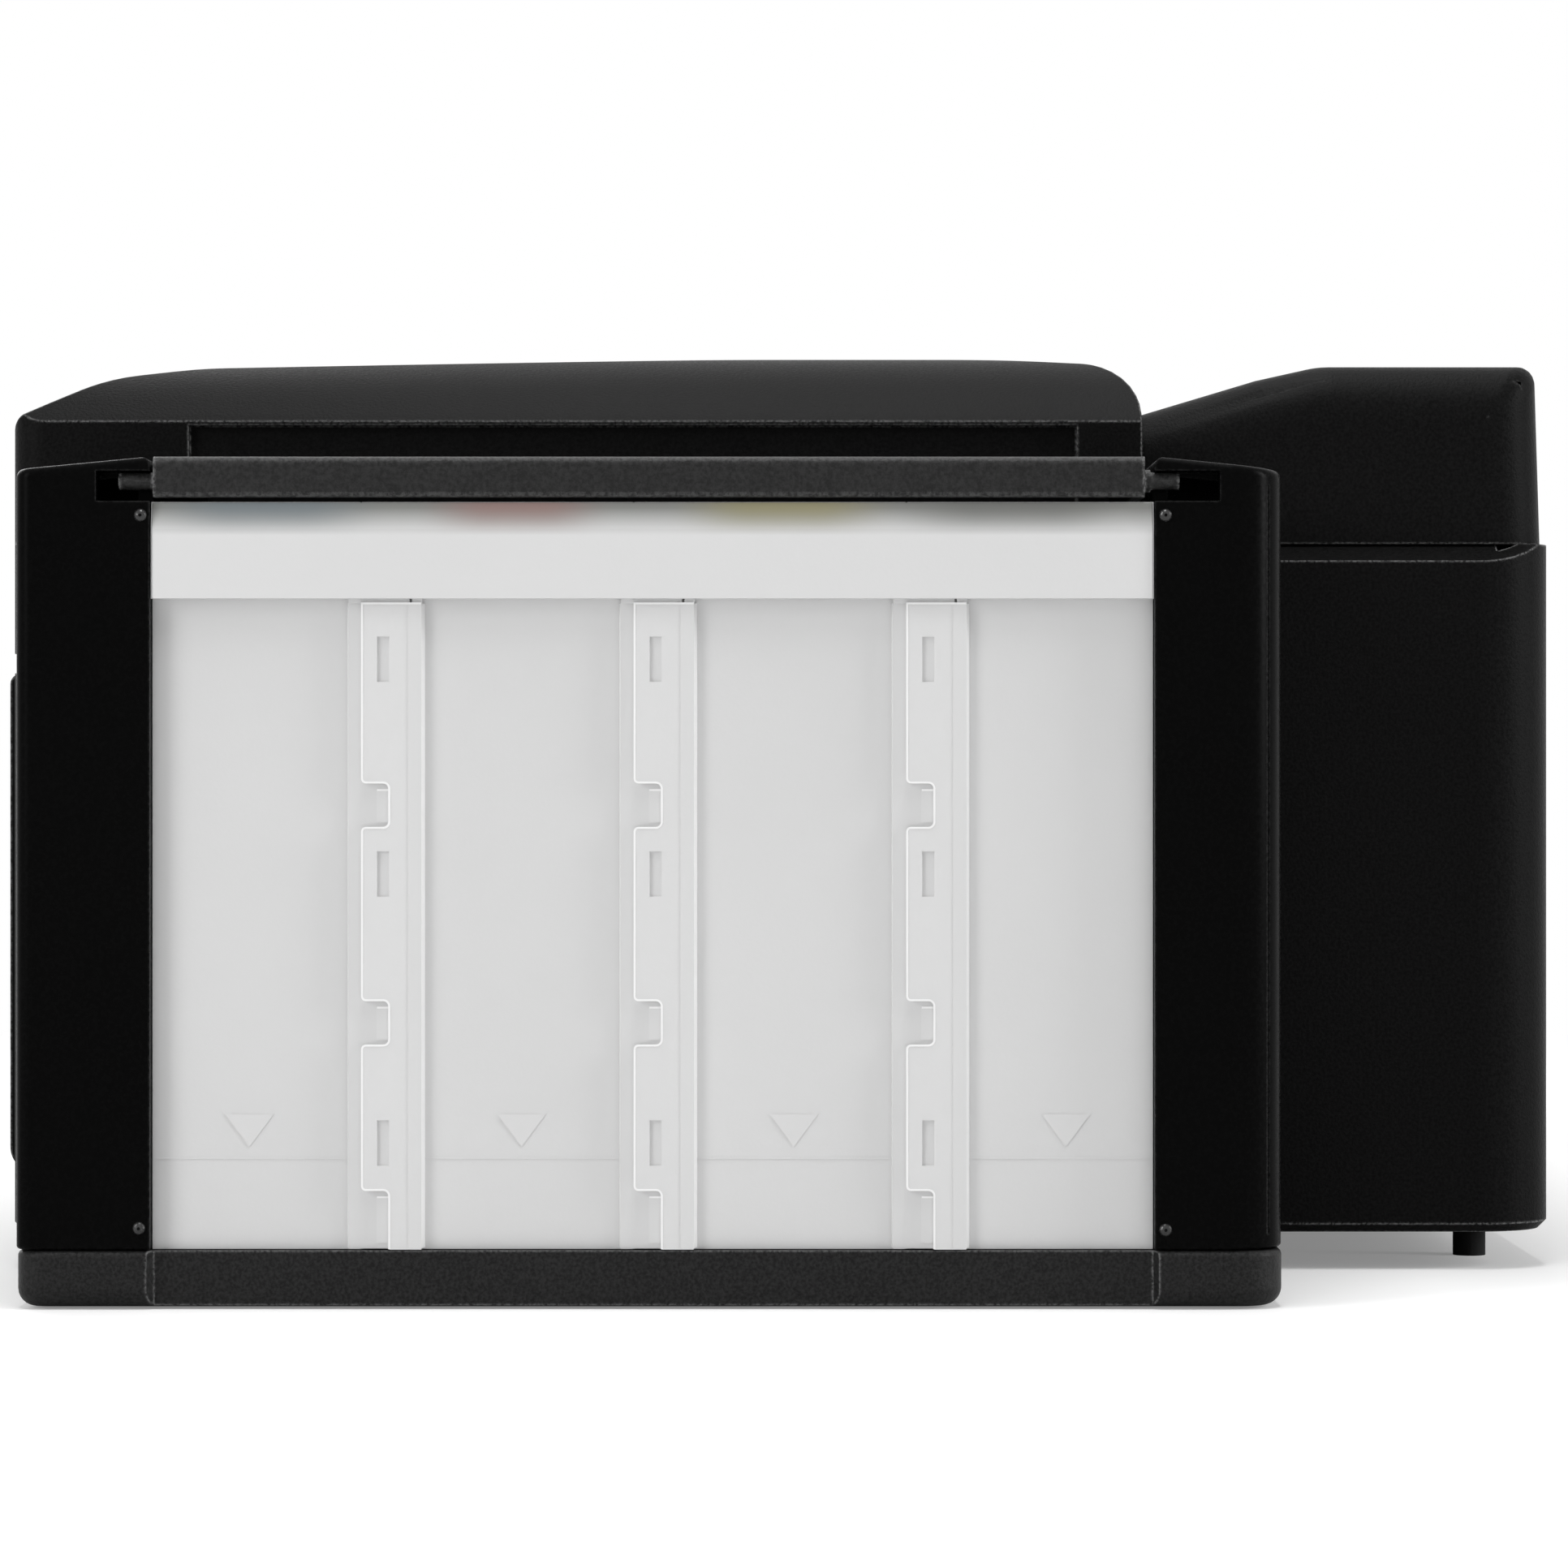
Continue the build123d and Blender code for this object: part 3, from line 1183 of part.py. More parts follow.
def make_hoses():
    pitch = (carriage_width - 8) / tank_count
    left = home_x - carriage_width / 2
    with BuildPart() as loop:
        for step in range(tank_count):
            x = left + 4 + (step + 0.5) * pitch
            end_y = carriage_front + 9
            add(tube_line([(loop_x, port_place(step), hose_z), (loop_x, port_place(step), loop_top),
                           (x, end_y, loop_top), (x, end_y, 79.2)], hose_radius, 9))
    save(loop.part, "ink_hose_loop")
    with BuildPart() as hoses:
        for step in range(tank_count):
            y = port_place(step)
            start = tank_begin(step) + outlet_offset
            low = hose_low + step * hose_layer
            points = [(tank_back - 0.05, start, low), (hose_x, start, low)]
            if abs(start - y) > 8:
                points.append((hose_x, y, low))
            points += [(hose_x, points[-1][1], hose_z), (loop_x + 2, points[-1][1], hose_z)]
            add(tube_line(points, hose_radius, 3.2))
    save(hoses.part, "tank_hoses")


def casing(y, outer_edge, slot):
    """One end casing of the tank unit, open towards the main case."""
    low = base_top + 0.15
    outer_high = casing_top - 0.9
    inner_high = casing_top + 0.8
    end, near = y
    direction = 1 if near > end else -1
    with BuildPart() as shell:
        side_prism([(end, low), (end, outer_high), (near, inner_high), (near, low)],
                   (unit_inner - 0.6, casing_face))
        upright = shell.edges().filter_by(Axis.Z).sort_by_distance((casing_face, end, 60))[0]
        fillet(upright, outer_edge)
        rim = shell.faces().sort_by(Axis.Z)[-1].edges()
        fillet(rim.filter_by(lambda edge: edge.center().X > unit_inner + 1), 1.1)
        lower = shell.faces().sort_by(Axis.Z)[0].edges().sort_by_distance((205, end, low))[0]
        fillet(lower, 0.5)
        wall = 2.0 * direction
        side_prism([(end + wall, low + 2), (end + wall, outer_high - 2),
                    (near - wall, inner_high - 2.4), (near - wall, low + 2)],
                   (unit_inner - 2, casing_face - 2), Mode.SUBTRACT)
        block((lid_axis_x - 2.6, casing_face + 1), (min(slot), max(slot)),
              (lid_axis_z - 2.7, lid_axis_z + 1.3), Mode.SUBTRACT)
        block((unit_inner - 2, unit_inner + 2.6),
              (min(end + wall, near + wall), max(end + wall, near + wall)),
              (low - 1, casing_top - 6.4), Mode.SUBTRACT)
        for y, z in pin_places:
            if min(end, near) < y < max(end, near):
                rod_x(y, z, pin_radius, (casing_face - 1, casing_face + 0.1))
                with Locations((casing_face + 0.1, y, z)):
                    Sphere(0.5)
    return shell.part


def make_casings():
    front = casing((unit_front, front_casing_end), 2.4, (-90.3, front_casing_end + 1))
    with BuildPart() as front_casing:
        add(front)
        rod_y_axis(knob_x, knob_z, 11.5, (unit_front + 0.5, unit_front + 8))
        rod_y_axis(knob_x, knob_z, 10.0, (unit_front - 1, unit_front + 6), Mode.SUBTRACT)
        rod_y_axis(knob_x, knob_z, 2.0 + run_gap, (unit_front - 1, unit_front + 9), Mode.SUBTRACT)
    save(front_casing.part, "tank_front_casing")
    with BuildPart() as knob:
        rod_y_axis(knob_x, knob_z, 9.6, (unit_front + 3.5, unit_front + 5.8))
        block((knob_x - 9, knob_x + 9), (unit_front + 0.3, unit_front + 4),
              (knob_z - 1.6, knob_z + 1.6))
        rod_y_axis(knob_x, knob_z, 2.0, (unit_front + 4, unit_front + 9.6))
    save(knob.part, "transport_lock")
    rear = casing((unit_rear, rear_casing_end), 7.0, (rear_casing_end - 1, 58.2))
    save(rear, "tank_rear_casing")


def make_tank_base():
    with BuildPart() as base:
        with BuildSketch(Plane.XY.offset(unit_bottom)) as plan:
            with BuildLine():
                Polyline((unit_inner, unit_front), (casing_face, unit_front),
                         (casing_face, unit_rear), (unit_inner, unit_rear), close=True)
            make_face()
            outer = plan.vertices().group_by(Axis.X)[-1].sort_by(Axis.Y)
            fillet(outer[0], 4)
            fillet(plan.vertices().sort_by_distance((casing_face, unit_rear, 0))[0], 6)
        extrude(plan.sketch, amount=base_top - unit_bottom)
        for face, radius in ((0, base_round), (-1, base_edge)):
            rim = base.faces().sort_by(Axis.Z)[face].edges()
            fillet(rim.filter_by(lambda edge: edge.center().X > unit_inner + 1), radius)
        # The middle of the outer side is set back, with sloped ends
        with BuildSketch(Plane.XY.offset(unit_bottom - 1)) as setback:
            with BuildLine():
                Polyline((casing_face + 1, front_casing_end - 1.2),
                         (casing_face + 1, rear_casing_end + 1.2),
                         (casing_face - 1.3, rear_casing_end - 0.2),
                         (casing_face - 1.3, front_casing_end + 0.4), close=True)
            make_face()
        extrude(setback.sketch, amount=12, mode=Mode.SUBTRACT)
        block((unit_inner + 2.7, casing_face - 4), (front_casing_end + 2, rear_casing_end - 2),
              (unit_bottom + 2, base_top + 1), Mode.SUBTRACT)
        for y in (unit_front + 16, rear_casing_end + 1.2):
            for x in (188.0, 229.0):
                rod_z_axis(x, y, 0.6, (0, unit_bottom + 0.5))
    save(base.part, "tank_base")
    with BuildPart() as plate:
        block((unit_inner, unit_inner + 2.5), (unit_front + 2.2, unit_rear - 2.2),
              (base_top + 0.1, casing_top - 6.5))
        block((unit_inner - 1, unit_inner + 4), (port_y - 8, port_y + 8),
              (hose_z - 2.6, hose_z + 2.6), Mode.SUBTRACT)
        for y in hook_places:
            side = case_right - case_wall
            front_prism(
                [(unit_inner + 1, 60.6), (unit_inner + 1, 65.4), (side - 0.5, 65.4),
                 (side - 0.5, 60.6)], (y - 8, y + 8),
            )
            front_prism(
                [(side - 0.5, 65.4), (side - 3.2, 65.4), (side - 3.2, 51.5), (side - 0.5, 51.5)],
                (y - 8, y + 8),
            )
        # Pegs that hold the backs of the four tanks
        for step in range(tank_count):
            for z in (40.0, 88.0):
                y = tank_begin(step) + 28.5
                rod_x(y, z, 2.5, (unit_inner + 2, tank_back - 0.05))
    save(plate.part, "tank_back_plate")


def cut_notch(y, low, high):
    """Notch in the outer edge of a bar, with rounded inner corners."""
    x = (bar_face - 1.6, bar_face + 1)
    block(x, (y - 1, y + notch_depth - notch_round), (low, high), Mode.SUBTRACT)
    block(x, (y - 1, y + notch_depth), (low + notch_round, high - notch_round), Mode.SUBTRACT)
    for z in (low + notch_round, high - notch_round):
        rod_x(y + notch_depth - notch_round, z, notch_round, x, Mode.SUBTRACT)


def make_tanks():
    for step in range(tank_count):
        start = tank_begin(step)
        low = max(start, front_casing_end) + 0.12
        high = min(start + tank_pitch, rear_casing_end) - 0.12
        inner_low = start + tank_bar
        bottom = base_top + 0.1
        centre = (inner_low + start + tank_pitch - tank_strip) / 2
        with BuildPart() as tank:
            block((tank_back, window_face), (low, high), (bottom, tank_top))
            if step:
                block((window_face - 2, bar_face), (low, inner_low), (bottom, band_low - 0.6))
            if step < tank_count - 1:
                block((window_face - 2, window_face + 0.4), (start + tank_pitch - tank_strip, high),
                      (bottom, band_low + 0.2))
            front_prism([(window_face - 4, band_low), (band_face, band_low), (band_face, 103.2),
                         (band_face - 0.8, band_high), (window_face - 0.6, band_high),
                         (window_face - 0.6, tank_top - 0.5), (window_face - 4, tank_top - 0.5)],
                        (low, high))
            block((tank_back + tank_wall, window_face - tank_wall),
                  (max(inner_low, low + tank_wall), min(high - tank_wall, inner_low + cavity_width)),
                  (bottom + tank_wall, tank_top - tank_wall), Mode.SUBTRACT)
            rod_z_axis(cap_x, centre, 7.0, (tank_top - 0.5, neck_top))
            rod_z_axis(cap_x, centre, 5.0, (tank_top - 3, neck_top + 1), Mode.SUBTRACT)
            if step:
                slot_low = start + 2.1
                for z in slot_places:
                    block((bar_face - 2.4, bar_face + 1), (slot_low, slot_low + 1.6),
                          (z - 3, z + 3), Mode.SUBTRACT)
                for z in notch_places:
                    cut_notch(low, z - notch_half, z + notch_half)
                cut_notch(low, bottom - 2, notch_end)
        save(tank.part, f"ink_tank_{step + 1}")
        with BuildPart() as cap:
            rod_z_axis(cap_x, centre, cap_plug, (neck_top - 5, neck_top + 0.1))
            chamfer(cap.faces().sort_by(Axis.Z)[0].edges(), 0.6)
            rod_z_axis(cap_x, centre, cap_bore, (neck_top - 6, neck_top), Mode.SUBTRACT)
            rod_z_axis(cap_x, centre, cap_head, (neck_top + 0.02, neck_top + 2.4))
            fillet(cap.faces().sort_by(Axis.Z)[-1].edges(), 0.5)
            block((cap_x - 7, cap_x + 7), (centre - 1.2, centre + 1.2),
                  (neck_top + 2, neck_top + 3.7))
        save(cap.part, f"tank_cap_{step + 1}")


def make_tank_lid():
    with BuildPart() as lid:
        block((unit_inner + 0.5, band_face + 0.1), (lid_front, lid_rear), (lid_skirt_low, lid_top))
        outer = lid.edges().filter_by(Axis.Y).sort_by_distance((band_face, 0, lid_top))[0]
        fillet(outer, 1.0)
        lower = lid.edges().filter_by(Axis.Y).sort_by_distance((band_face, 0, lid_skirt_low))[0]
        fillet(lower, 0.6)
        block((unit_inner - 1, band_face - 1.5), (lid_front + 1.6, lid_rear - 1.6),
              (lid_skirt_low - 1, lid_top - 2.2), Mode.SUBTRACT)
        block((unit_inner - 1, unit_inner + 3.1), (lid_front - 1, lid_rear + 1),
              (lid_skirt_low - 1, lid_top - 2.2), Mode.SUBTRACT)
        rod_y_axis(lid_axis_x, lid_axis_z, lid_pin, (lid_front - 4.6, lid_front + 2))
        rod_y_axis(lid_axis_x, lid_axis_z, lid_pin, (lid_rear - 2, lid_rear + 4.6))
        rod_y_axis(lid_axis_x - 0.4, lid_axis_z, 1.5, (lid_rear - 1, lid_rear + 0.8))
        for step in range(5):
            y = lid_front + 22 + step * 22
            block((unit_inner + 8, band_face - 8), (y - 0.6, y + 0.6),
                  (lid_top - 2.9, lid_top - 2.0))
    save(lid.part, "tank_lid")


def make_all():
    os.makedirs("parts", exist_ok=True)
    make_lower_case()
    make_upper_case()
    make_top_cover()
    make_ribbed_panel()
    button_board = make_buttons()
    make_feeder_housing()
    make_paper_support()
    make_output_tray()
    make_feet()
    make_screws()
    socket = make_sockets()
    make_electronics(socket, button_board)
    make_chassis()
    make_paper_feed()
    make_rollers()
    make_paper_guides()
    make_belt_drive()
    make_carriage()
    make_maintenance()
    make_hoses()
    make_casings()
    make_tank_base()
    make_tanks()
    make_tank_lid()


make_all()
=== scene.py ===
import bpy
import math
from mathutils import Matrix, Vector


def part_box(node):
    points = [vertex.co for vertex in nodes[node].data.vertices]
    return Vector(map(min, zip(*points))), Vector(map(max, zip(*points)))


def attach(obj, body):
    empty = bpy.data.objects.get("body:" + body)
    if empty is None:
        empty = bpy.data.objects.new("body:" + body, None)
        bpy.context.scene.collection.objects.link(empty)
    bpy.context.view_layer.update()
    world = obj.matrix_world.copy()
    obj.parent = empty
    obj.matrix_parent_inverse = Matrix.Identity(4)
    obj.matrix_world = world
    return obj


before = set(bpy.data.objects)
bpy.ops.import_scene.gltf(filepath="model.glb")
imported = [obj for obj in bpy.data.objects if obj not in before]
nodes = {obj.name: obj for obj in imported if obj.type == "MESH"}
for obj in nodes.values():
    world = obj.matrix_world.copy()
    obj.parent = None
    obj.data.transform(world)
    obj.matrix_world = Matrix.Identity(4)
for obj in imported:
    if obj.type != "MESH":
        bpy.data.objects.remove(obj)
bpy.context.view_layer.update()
mm = 0.001
print("frame loaded:", len(nodes), "nodes")


def linearColour(hexText, alpha=1.0):
    values = [int(hexText[i:i + 2], 16) / 255 for i in (1, 3, 5)]
    return [v / 12.92 if v <= 0.04045 else ((v + 0.055) / 1.055) ** 2.4 for v in values] + [alpha]


def addNode(tree, kind, settings=None, inputs=None):
    node = tree.nodes.new(kind)
    for name, value in (settings or {}).items():
        setattr(node, name, value)
    for name, value in (inputs or {}).items():
        if isinstance(value, bpy.types.NodeSocket):
            tree.links.new(value, node.inputs[name])
        else:
            node.inputs[name].default_value = value
    return node


def startMaterial(name):
    # New material, its tree, its shader and the coordinates that stay with the object
    material = bpy.data.materials.new(name)
    material.use_nodes = True
    tree = material.node_tree
    return material, tree, tree.nodes["Principled BSDF"], addNode(tree, "ShaderNodeTexCoord")


# Moulded finishes: sizes are in millimetres, colours in hex sRGB; edge is the colour of a painted
# highlight along the edges
finishes = {
    # Case: black ABS from a spark-eroded mould, matt with a fine dark grain
    "caseAbs": dict(colour="#161616", dark="#090909", edge="#8A8A8A", roughness=0.42,
                    specular=0.03, grainMm=0.45, bumpMm=0.07, edgeMm=0.5),
    # Casings of the tank unit: ABS from a polished mould, deeper black
    "casingAbs": dict(colour="#080808", dark="#050505", edge="#2C2C2C", roughness=0.26,
                      specular=0.02, grainMm=0.6, bumpMm=0.008, edgeMm=0.4),
    # Base under the tanks: grained like the case, a little greyer
    "baseAbs": dict(colour="#2A2A2A", dark="#121212", edge="#7A7A7A", roughness=0.42,
                    specular=0.1, grainMm=0.45, bumpMm=0.07, edgeMm=0.5),
    # Tank lid: the deepest grain, which sparkles under light from above
    "lidAbs": dict(colour="#2D2D2D", dark="#1A1A1A", edge="#8C8C8C", roughness=0.36,
                   specular=0.14, grainMm=0.55, bumpMm=0.14, edgeMm=0.7),
    # Ribbed panel of the cover: smooth ribs, with a painted highlight only along their edges
    "panelAbs": dict(colour="#1E1E1E", dark="#181818", edge="#8A8A8A", roughness=0.5,
                     specular=0.1, grainMm=0.45, bumpMm=0.02, edgeMm=0.25),
    # Pin heads: glossy, with one clear highlight each
    "pinAbs": dict(colour="#242424", dark="#1A1A1A", edge="#5A5A5A", roughness=0.16,
                   specular=0.5, grainMm=0.6, bumpMm=0.004, edgeMm=0.1),
    # Buttons: satin
    "buttonAbs": dict(colour="#2B2B2B", dark="#222222", edge="#4A4A4A", roughness=0.33,
                      specular=0.2, grainMm=0.4, bumpMm=0.01, edgeMm=0.2),
    # Inner parts: dark grey, plain and matt
    "innerAbs": dict(colour="#2E2E2F", dark="#232324", edge="#454546", roughness=0.5,
                     specular=0.2, grainMm=0.7, bumpMm=0.02, edgeMm=0.2),
    # Carriage: black, between matt and satin
    "carriageAbs": dict(colour="#171717", dark="#101010", edge="#383838", roughness=0.38,
                        specular=0.2, grainMm=0.6, bumpMm=0.015, edgeMm=0.25),
    # Gears and pulleys: natural acetal, waxy off-white
    "acetal": dict(colour="#DEDCD3", dark="#CDCBC1", edge="#E8E6DE", roughness=0.34,
                   specular=0.45, grainMm=1.2, bumpMm=0.006, edgeMm=0.15),
    # Rollers: ground rubber, dull
    "rollerRubber": dict(colour="#3C3D3F", dark="#2E2F31", edge="#4A4B4D", roughness=0.82,
                         specular=0.3, grainMm=0.35, bumpMm=0.03, edgeMm=0.3),
    # Feet and belt: black moulded rubber
    "blackRubber": dict(colour="#161616", dark="#0F0F0F", edge="#2A2A2A", roughness=0.78,
                        specular=0.2, grainMm=0.4, bumpMm=0.03, edgeMm=0.3),
    # Tank caps: soft plastic in the inks' colours
    "capCyan": dict(colour="#1C86B8", dark="#15709B", edge="#3E9DC8", roughness=0.38,
                    specular=0.45, grainMm=0.5, bumpMm=0.01, edgeMm=0.3),
    "capMagenta": dict(colour="#B8256F", dark="#981C5A", edge="#C84A88", roughness=0.38,
                       specular=0.45, grainMm=0.5, bumpMm=0.01, edgeMm=0.3),
    "capYellow": dict(colour="#D9B11E", dark="#BE9A14", edge="#E4C650", roughness=0.38,
                      specular=0.45, grainMm=0.5, bumpMm=0.01, edgeMm=0.3),
    "capBlack": dict(colour="#1A1A1A", dark="#101010", edge="#3C3C3C", roughness=0.38,
                     specular=0.3, grainMm=0.5, bumpMm=0.01, edgeMm=0.3),
    # Waste ink pad: pressed felt, quite matt
    "feltPad": dict(colour="#D8D5CA", dark="#B9B5A8", edge="#D8D5CA", roughness=0.95,
                    specular=0.1, grainMm=0.5, bumpMm=0.12, edgeMm=0.5),
    # Main board: green solder mask, smooth and a little glossy
    "circuitBoard": dict(colour="#155A34", dark="#0E4426", edge="#4E7A5A", roughness=0.35,
                         specular=0.45, grainMm=2.2, bumpMm=0.01, edgeMm=0.1),
}
# What all of them share: slow drift of the colour, dark pits, and a painted highlight along the
# edges, in specks
mouldLook = dict(driftMm=35, driftShare=0.25, pitsFrom=0.36, pitsTo=0.64, glossFrom=0.3,
                 glossTo=0.7, glossSpread=0.07, edgeFrom=0.995, edgeTo=0.93, speckFrom=0.38,
                 speckTo=0.6, speckLeast=0.12, highlightDimFromY=52, highlightDimToY=60, highlightDimFromZ=108,
                 highlightDimToZ=112, highlightDimShare=0.15)


def mouldedPlastic(name):
    # Injection-moulded plastic: spark-eroded grain breaks the highlight into fine sparkle
    look = finishes[name]
    material, tree, shader, place = startMaterial(name)
    grain = addNode(tree, "ShaderNodeTexNoise", {},
                    {"Vector": place.outputs["Object"], "Scale": 1.0 / (look["grainMm"] * mm),
                     "Detail": 3.0, "Roughness": 0.6})
    drift = addNode(tree, "ShaderNodeTexNoise", {},
                    {"Vector": place.outputs["Object"],
                     "Scale": 1.0 / (mouldLook["driftMm"] * mm), "Detail": 2.0})
    # The pits of the grain are darker than its tips
    pits = addNode(tree, "ShaderNodeMapRange", {},
                   {"Value": grain.outputs["Fac"], "From Min": mouldLook["pitsFrom"],
                    "From Max": mouldLook["pitsTo"]})
    uneven = addNode(tree, "ShaderNodeMix", {},
                     {"Factor": mouldLook["driftShare"], "A": pits.outputs["Result"],
                      "B": drift.outputs["Fac"]})
    mix = addNode(tree, "ShaderNodeMix", {"data_type": "RGBA"},
                  {"Factor": uneven.outputs["Result"]})
    mix.inputs[6].default_value = linearColour(look["dark"])
    mix.inputs[7].default_value = linearColour(look["colour"])
    rough = addNode(tree, "ShaderNodeMapRange", {},
                    {"Value": grain.outputs["Fac"], "From Min": mouldLook["glossFrom"],
                     "From Max": mouldLook["glossTo"],
                     "To Min": look["roughness"] - mouldLook["glossSpread"],
                     "To Max": look["roughness"] + mouldLook["glossSpread"]})
    edge = addNode(tree, "ShaderNodeBevel", {"samples": 4}, {"Radius": look["edgeMm"] * mm})
    bump = addNode(tree, "ShaderNodeBump", {},
                   {"Height": grain.outputs["Fac"], "Strength": 1.0,
                    "Distance": look["bumpMm"] * mm, "Normal": edge.outputs["Normal"]})
    # Painted highlight: edges are made brighter in the base colour, in specks as fine as the
    # grain, where the bevelled normal turns away from the face's own
    facing = addNode(tree, "ShaderNodeNewGeometry")
    turn = addNode(tree, "ShaderNodeVectorMath", {"operation": "DOT_PRODUCT"})
    tree.links.new(edge.outputs["Normal"], turn.inputs[0])
    tree.links.new(facing.outputs["Normal"], turn.inputs[1])
    onEdge = addNode(tree, "ShaderNodeMapRange", {"interpolation_type": "SMOOTHSTEP"},
                     {"Value": turn.outputs["Value"], "From Min": mouldLook["edgeFrom"],
                      "From Max": mouldLook["edgeTo"]})
    specks = addNode(tree, "ShaderNodeMapRange", {},
                     {"Value": grain.outputs["Fac"], "From Min": mouldLook["speckFrom"],
                      "From Max": mouldLook["speckTo"], "To Min": mouldLook["speckLeast"],
                      "To Max": 1.0})
    edgeHighlight = addNode(tree, "ShaderNodeMath", {"operation": "MULTIPLY"})
    tree.links.new(onEdge.outputs["Result"], edgeHighlight.inputs[0])
    tree.links.new(specks.outputs["Result"], edgeHighlight.inputs[1])
    # High at the rear most of the painted edge highlight is left out
    axes = addNode(tree, "ShaderNodeSeparateXYZ", {}, {"Vector": place.outputs["Object"]})
    rearward = addNode(tree, "ShaderNodeMapRange", {},
                       {"Value": axes.outputs["Y"], "From Min": mouldLook["highlightDimFromY"] * mm,
                        "From Max": mouldLook["highlightDimToY"] * mm})
    upward = addNode(tree, "ShaderNodeMapRange", {},
                     {"Value": axes.outputs["Z"], "From Min": mouldLook["highlightDimFromZ"] * mm,
                      "From Max": mouldLook["highlightDimToZ"] * mm})
    highlightDimZone = addNode(tree, "ShaderNodeMath", {"operation": "MULTIPLY"})
    tree.links.new(rearward.outputs["Result"], highlightDimZone.inputs[0])
    tree.links.new(upward.outputs["Result"], highlightDimZone.inputs[1])
    kept = addNode(tree, "ShaderNodeMapRange", {},
                   {"Value": highlightDimZone.outputs[0], "To Min": 1.0, "To Max": mouldLook["highlightDimShare"]})
    shown = addNode(tree, "ShaderNodeMath", {"operation": "MULTIPLY"})
    tree.links.new(edgeHighlight.outputs[0], shown.inputs[0])
    tree.links.new(kept.outputs["Result"], shown.inputs[1])
    edgeHighlighted = addNode(tree, "ShaderNodeMix", {"data_type": "RGBA"}, {"Factor": shown.outputs[0]})
    tree.links.new(mix.outputs[2], edgeHighlighted.inputs[6])
    edgeHighlighted.inputs[7].default_value = linearColour(look["edge"])
    shader.inputs["Specular IOR Level"].default_value = look["specular"]
    tree.links.new(edgeHighlighted.outputs[2], shader.inputs["Base Color"])
    tree.links.new(rough.outputs["Result"], shader.inputs["Roughness"])
    tree.links.new(bump.outputs["Normal"], shader.inputs["Normal"])
    return material


# Natural polypropylene of the tanks, and the same plastic where it is thicker or thinner; the
# near-white of the beads is a painted highlight
tankLook = dict(colour="#DADADA", shade="#D5D5D5", front="#DCDCDC", frontFromMm=233.6,
                frontToMm=234.1, driftMm=28, fineMm=0.6, bumpMm=0.01, roughness=0.42, ior=1.49,
                scatter=0.25, scatterMm=2.0)
tankShades = {"tankStrip": ("#DADADA", "#D6D6D6"), "tankHighlightBead": ("#F8F8F8", "#F2F2F2"),
              "tankSlot": ("#DADADA", "#D4D4D4"), "tankTab": ("#DFDFDF", "#D8D8D8"),
              "tankArrow": ("#D9D9D9", "#D6D6D6")}
# Clear strip over the tops of all four tanks: its outline, its edge, its finish, and the grey of
# the painted shadow under the lid (dim)
tankBand = dict(lowY=-82.95, highY=49.35, lowZ=94.0, foldZ=103.2, highZ=106.75, face=235.0,
                slopeBack=0.8, thick=0.14, sunk=0.3, edge=0.1, light="#DCDCDC", shade="#D8D8D8",
                lidShadowLowMm=102.4, lidShadowHighMm=106.0, lidShadowMost=0.92, dim="#757672")
# Ink colours seen faintly through that strip below the lid, darkened there as painted shade:
# middle and half width along Y
shadedInkPatches = ((-68.0, 12.0, "#70787C"), (-35.0, 9.5, "#8C746F"), (0.5, 11.0, "#8C8768"),
               (31.0, 13.0, "#6C6D6A"))
tintFade = dict(outer=1.45, inner=0.35)  # Times the half width, where a colour starts and fills


def frontTone(tree, colour, across):
    # Bars and band stand nearer and thicker, so they read a little whiter than the windows
    nearer = addNode(tree, "ShaderNodeMapRange", {},
                     {"Value": across, "From Min": tankLook["frontFromMm"] * mm,
                      "From Max": tankLook["frontToMm"] * mm})
    front = addNode(tree, "ShaderNodeMix", {"data_type": "RGBA"},
                    {"Factor": nearer.outputs["Result"]})
    tree.links.new(colour, front.inputs[6])
    front.inputs[7].default_value = linearColour(tankLook["front"])
    return front.outputs[2]


def lidShadowAndInkTints(tree, colour, along, height):
    # Painted shadow of the lid: grey towards the lid, with the colour of each ink in its own
    # place, as dark as that shadow
    rise = addNode(tree, "ShaderNodeMapRange", {},
                   {"Value": height, "From Min": tankBand["lidShadowLowMm"] * mm,
                    "From Max": tankBand["lidShadowHighMm"] * mm, "To Max": tankBand["lidShadowMost"]})
    dim = addNode(tree, "ShaderNodeMix", {"data_type": "RGBA"},
                  {"Factor": rise.outputs["Result"]})
    tree.links.new(colour, dim.inputs[6])
    dim.inputs[7].default_value = linearColour(tankBand["dim"])
    colour = dim.outputs[2]
    for middle, half, hexText in shadedInkPatches:
        away = addNode(tree, "ShaderNodeMath", {"operation": "SUBTRACT"})
        tree.links.new(along, away.inputs[0])
        away.inputs[1].default_value = middle * mm
        side = addNode(tree, "ShaderNodeMath", {"operation": "ABSOLUTE"})
        tree.links.new(away.outputs[0], side.inputs[0])
        near = addNode(tree, "ShaderNodeMapRange", {"interpolation_type": "SMOOTHSTEP"},
                       {"Value": side.outputs[0], "From Min": half * tintFade["outer"] * mm,
                        "From Max": half * tintFade["inner"] * mm})
        share = addNode(tree, "ShaderNodeMath", {"operation": "MULTIPLY"})
        tree.links.new(near.outputs["Result"], share.inputs[0])
        tree.links.new(rise.outputs["Result"], share.inputs[1])
        tint = addNode(tree, "ShaderNodeMix", {"data_type": "RGBA"},
                       {"Factor": share.outputs[0]})
        tree.links.new(colour, tint.inputs[6])
        tint.inputs[7].default_value = linearColour(hexText)
        colour = tint.outputs[2]
    return colour


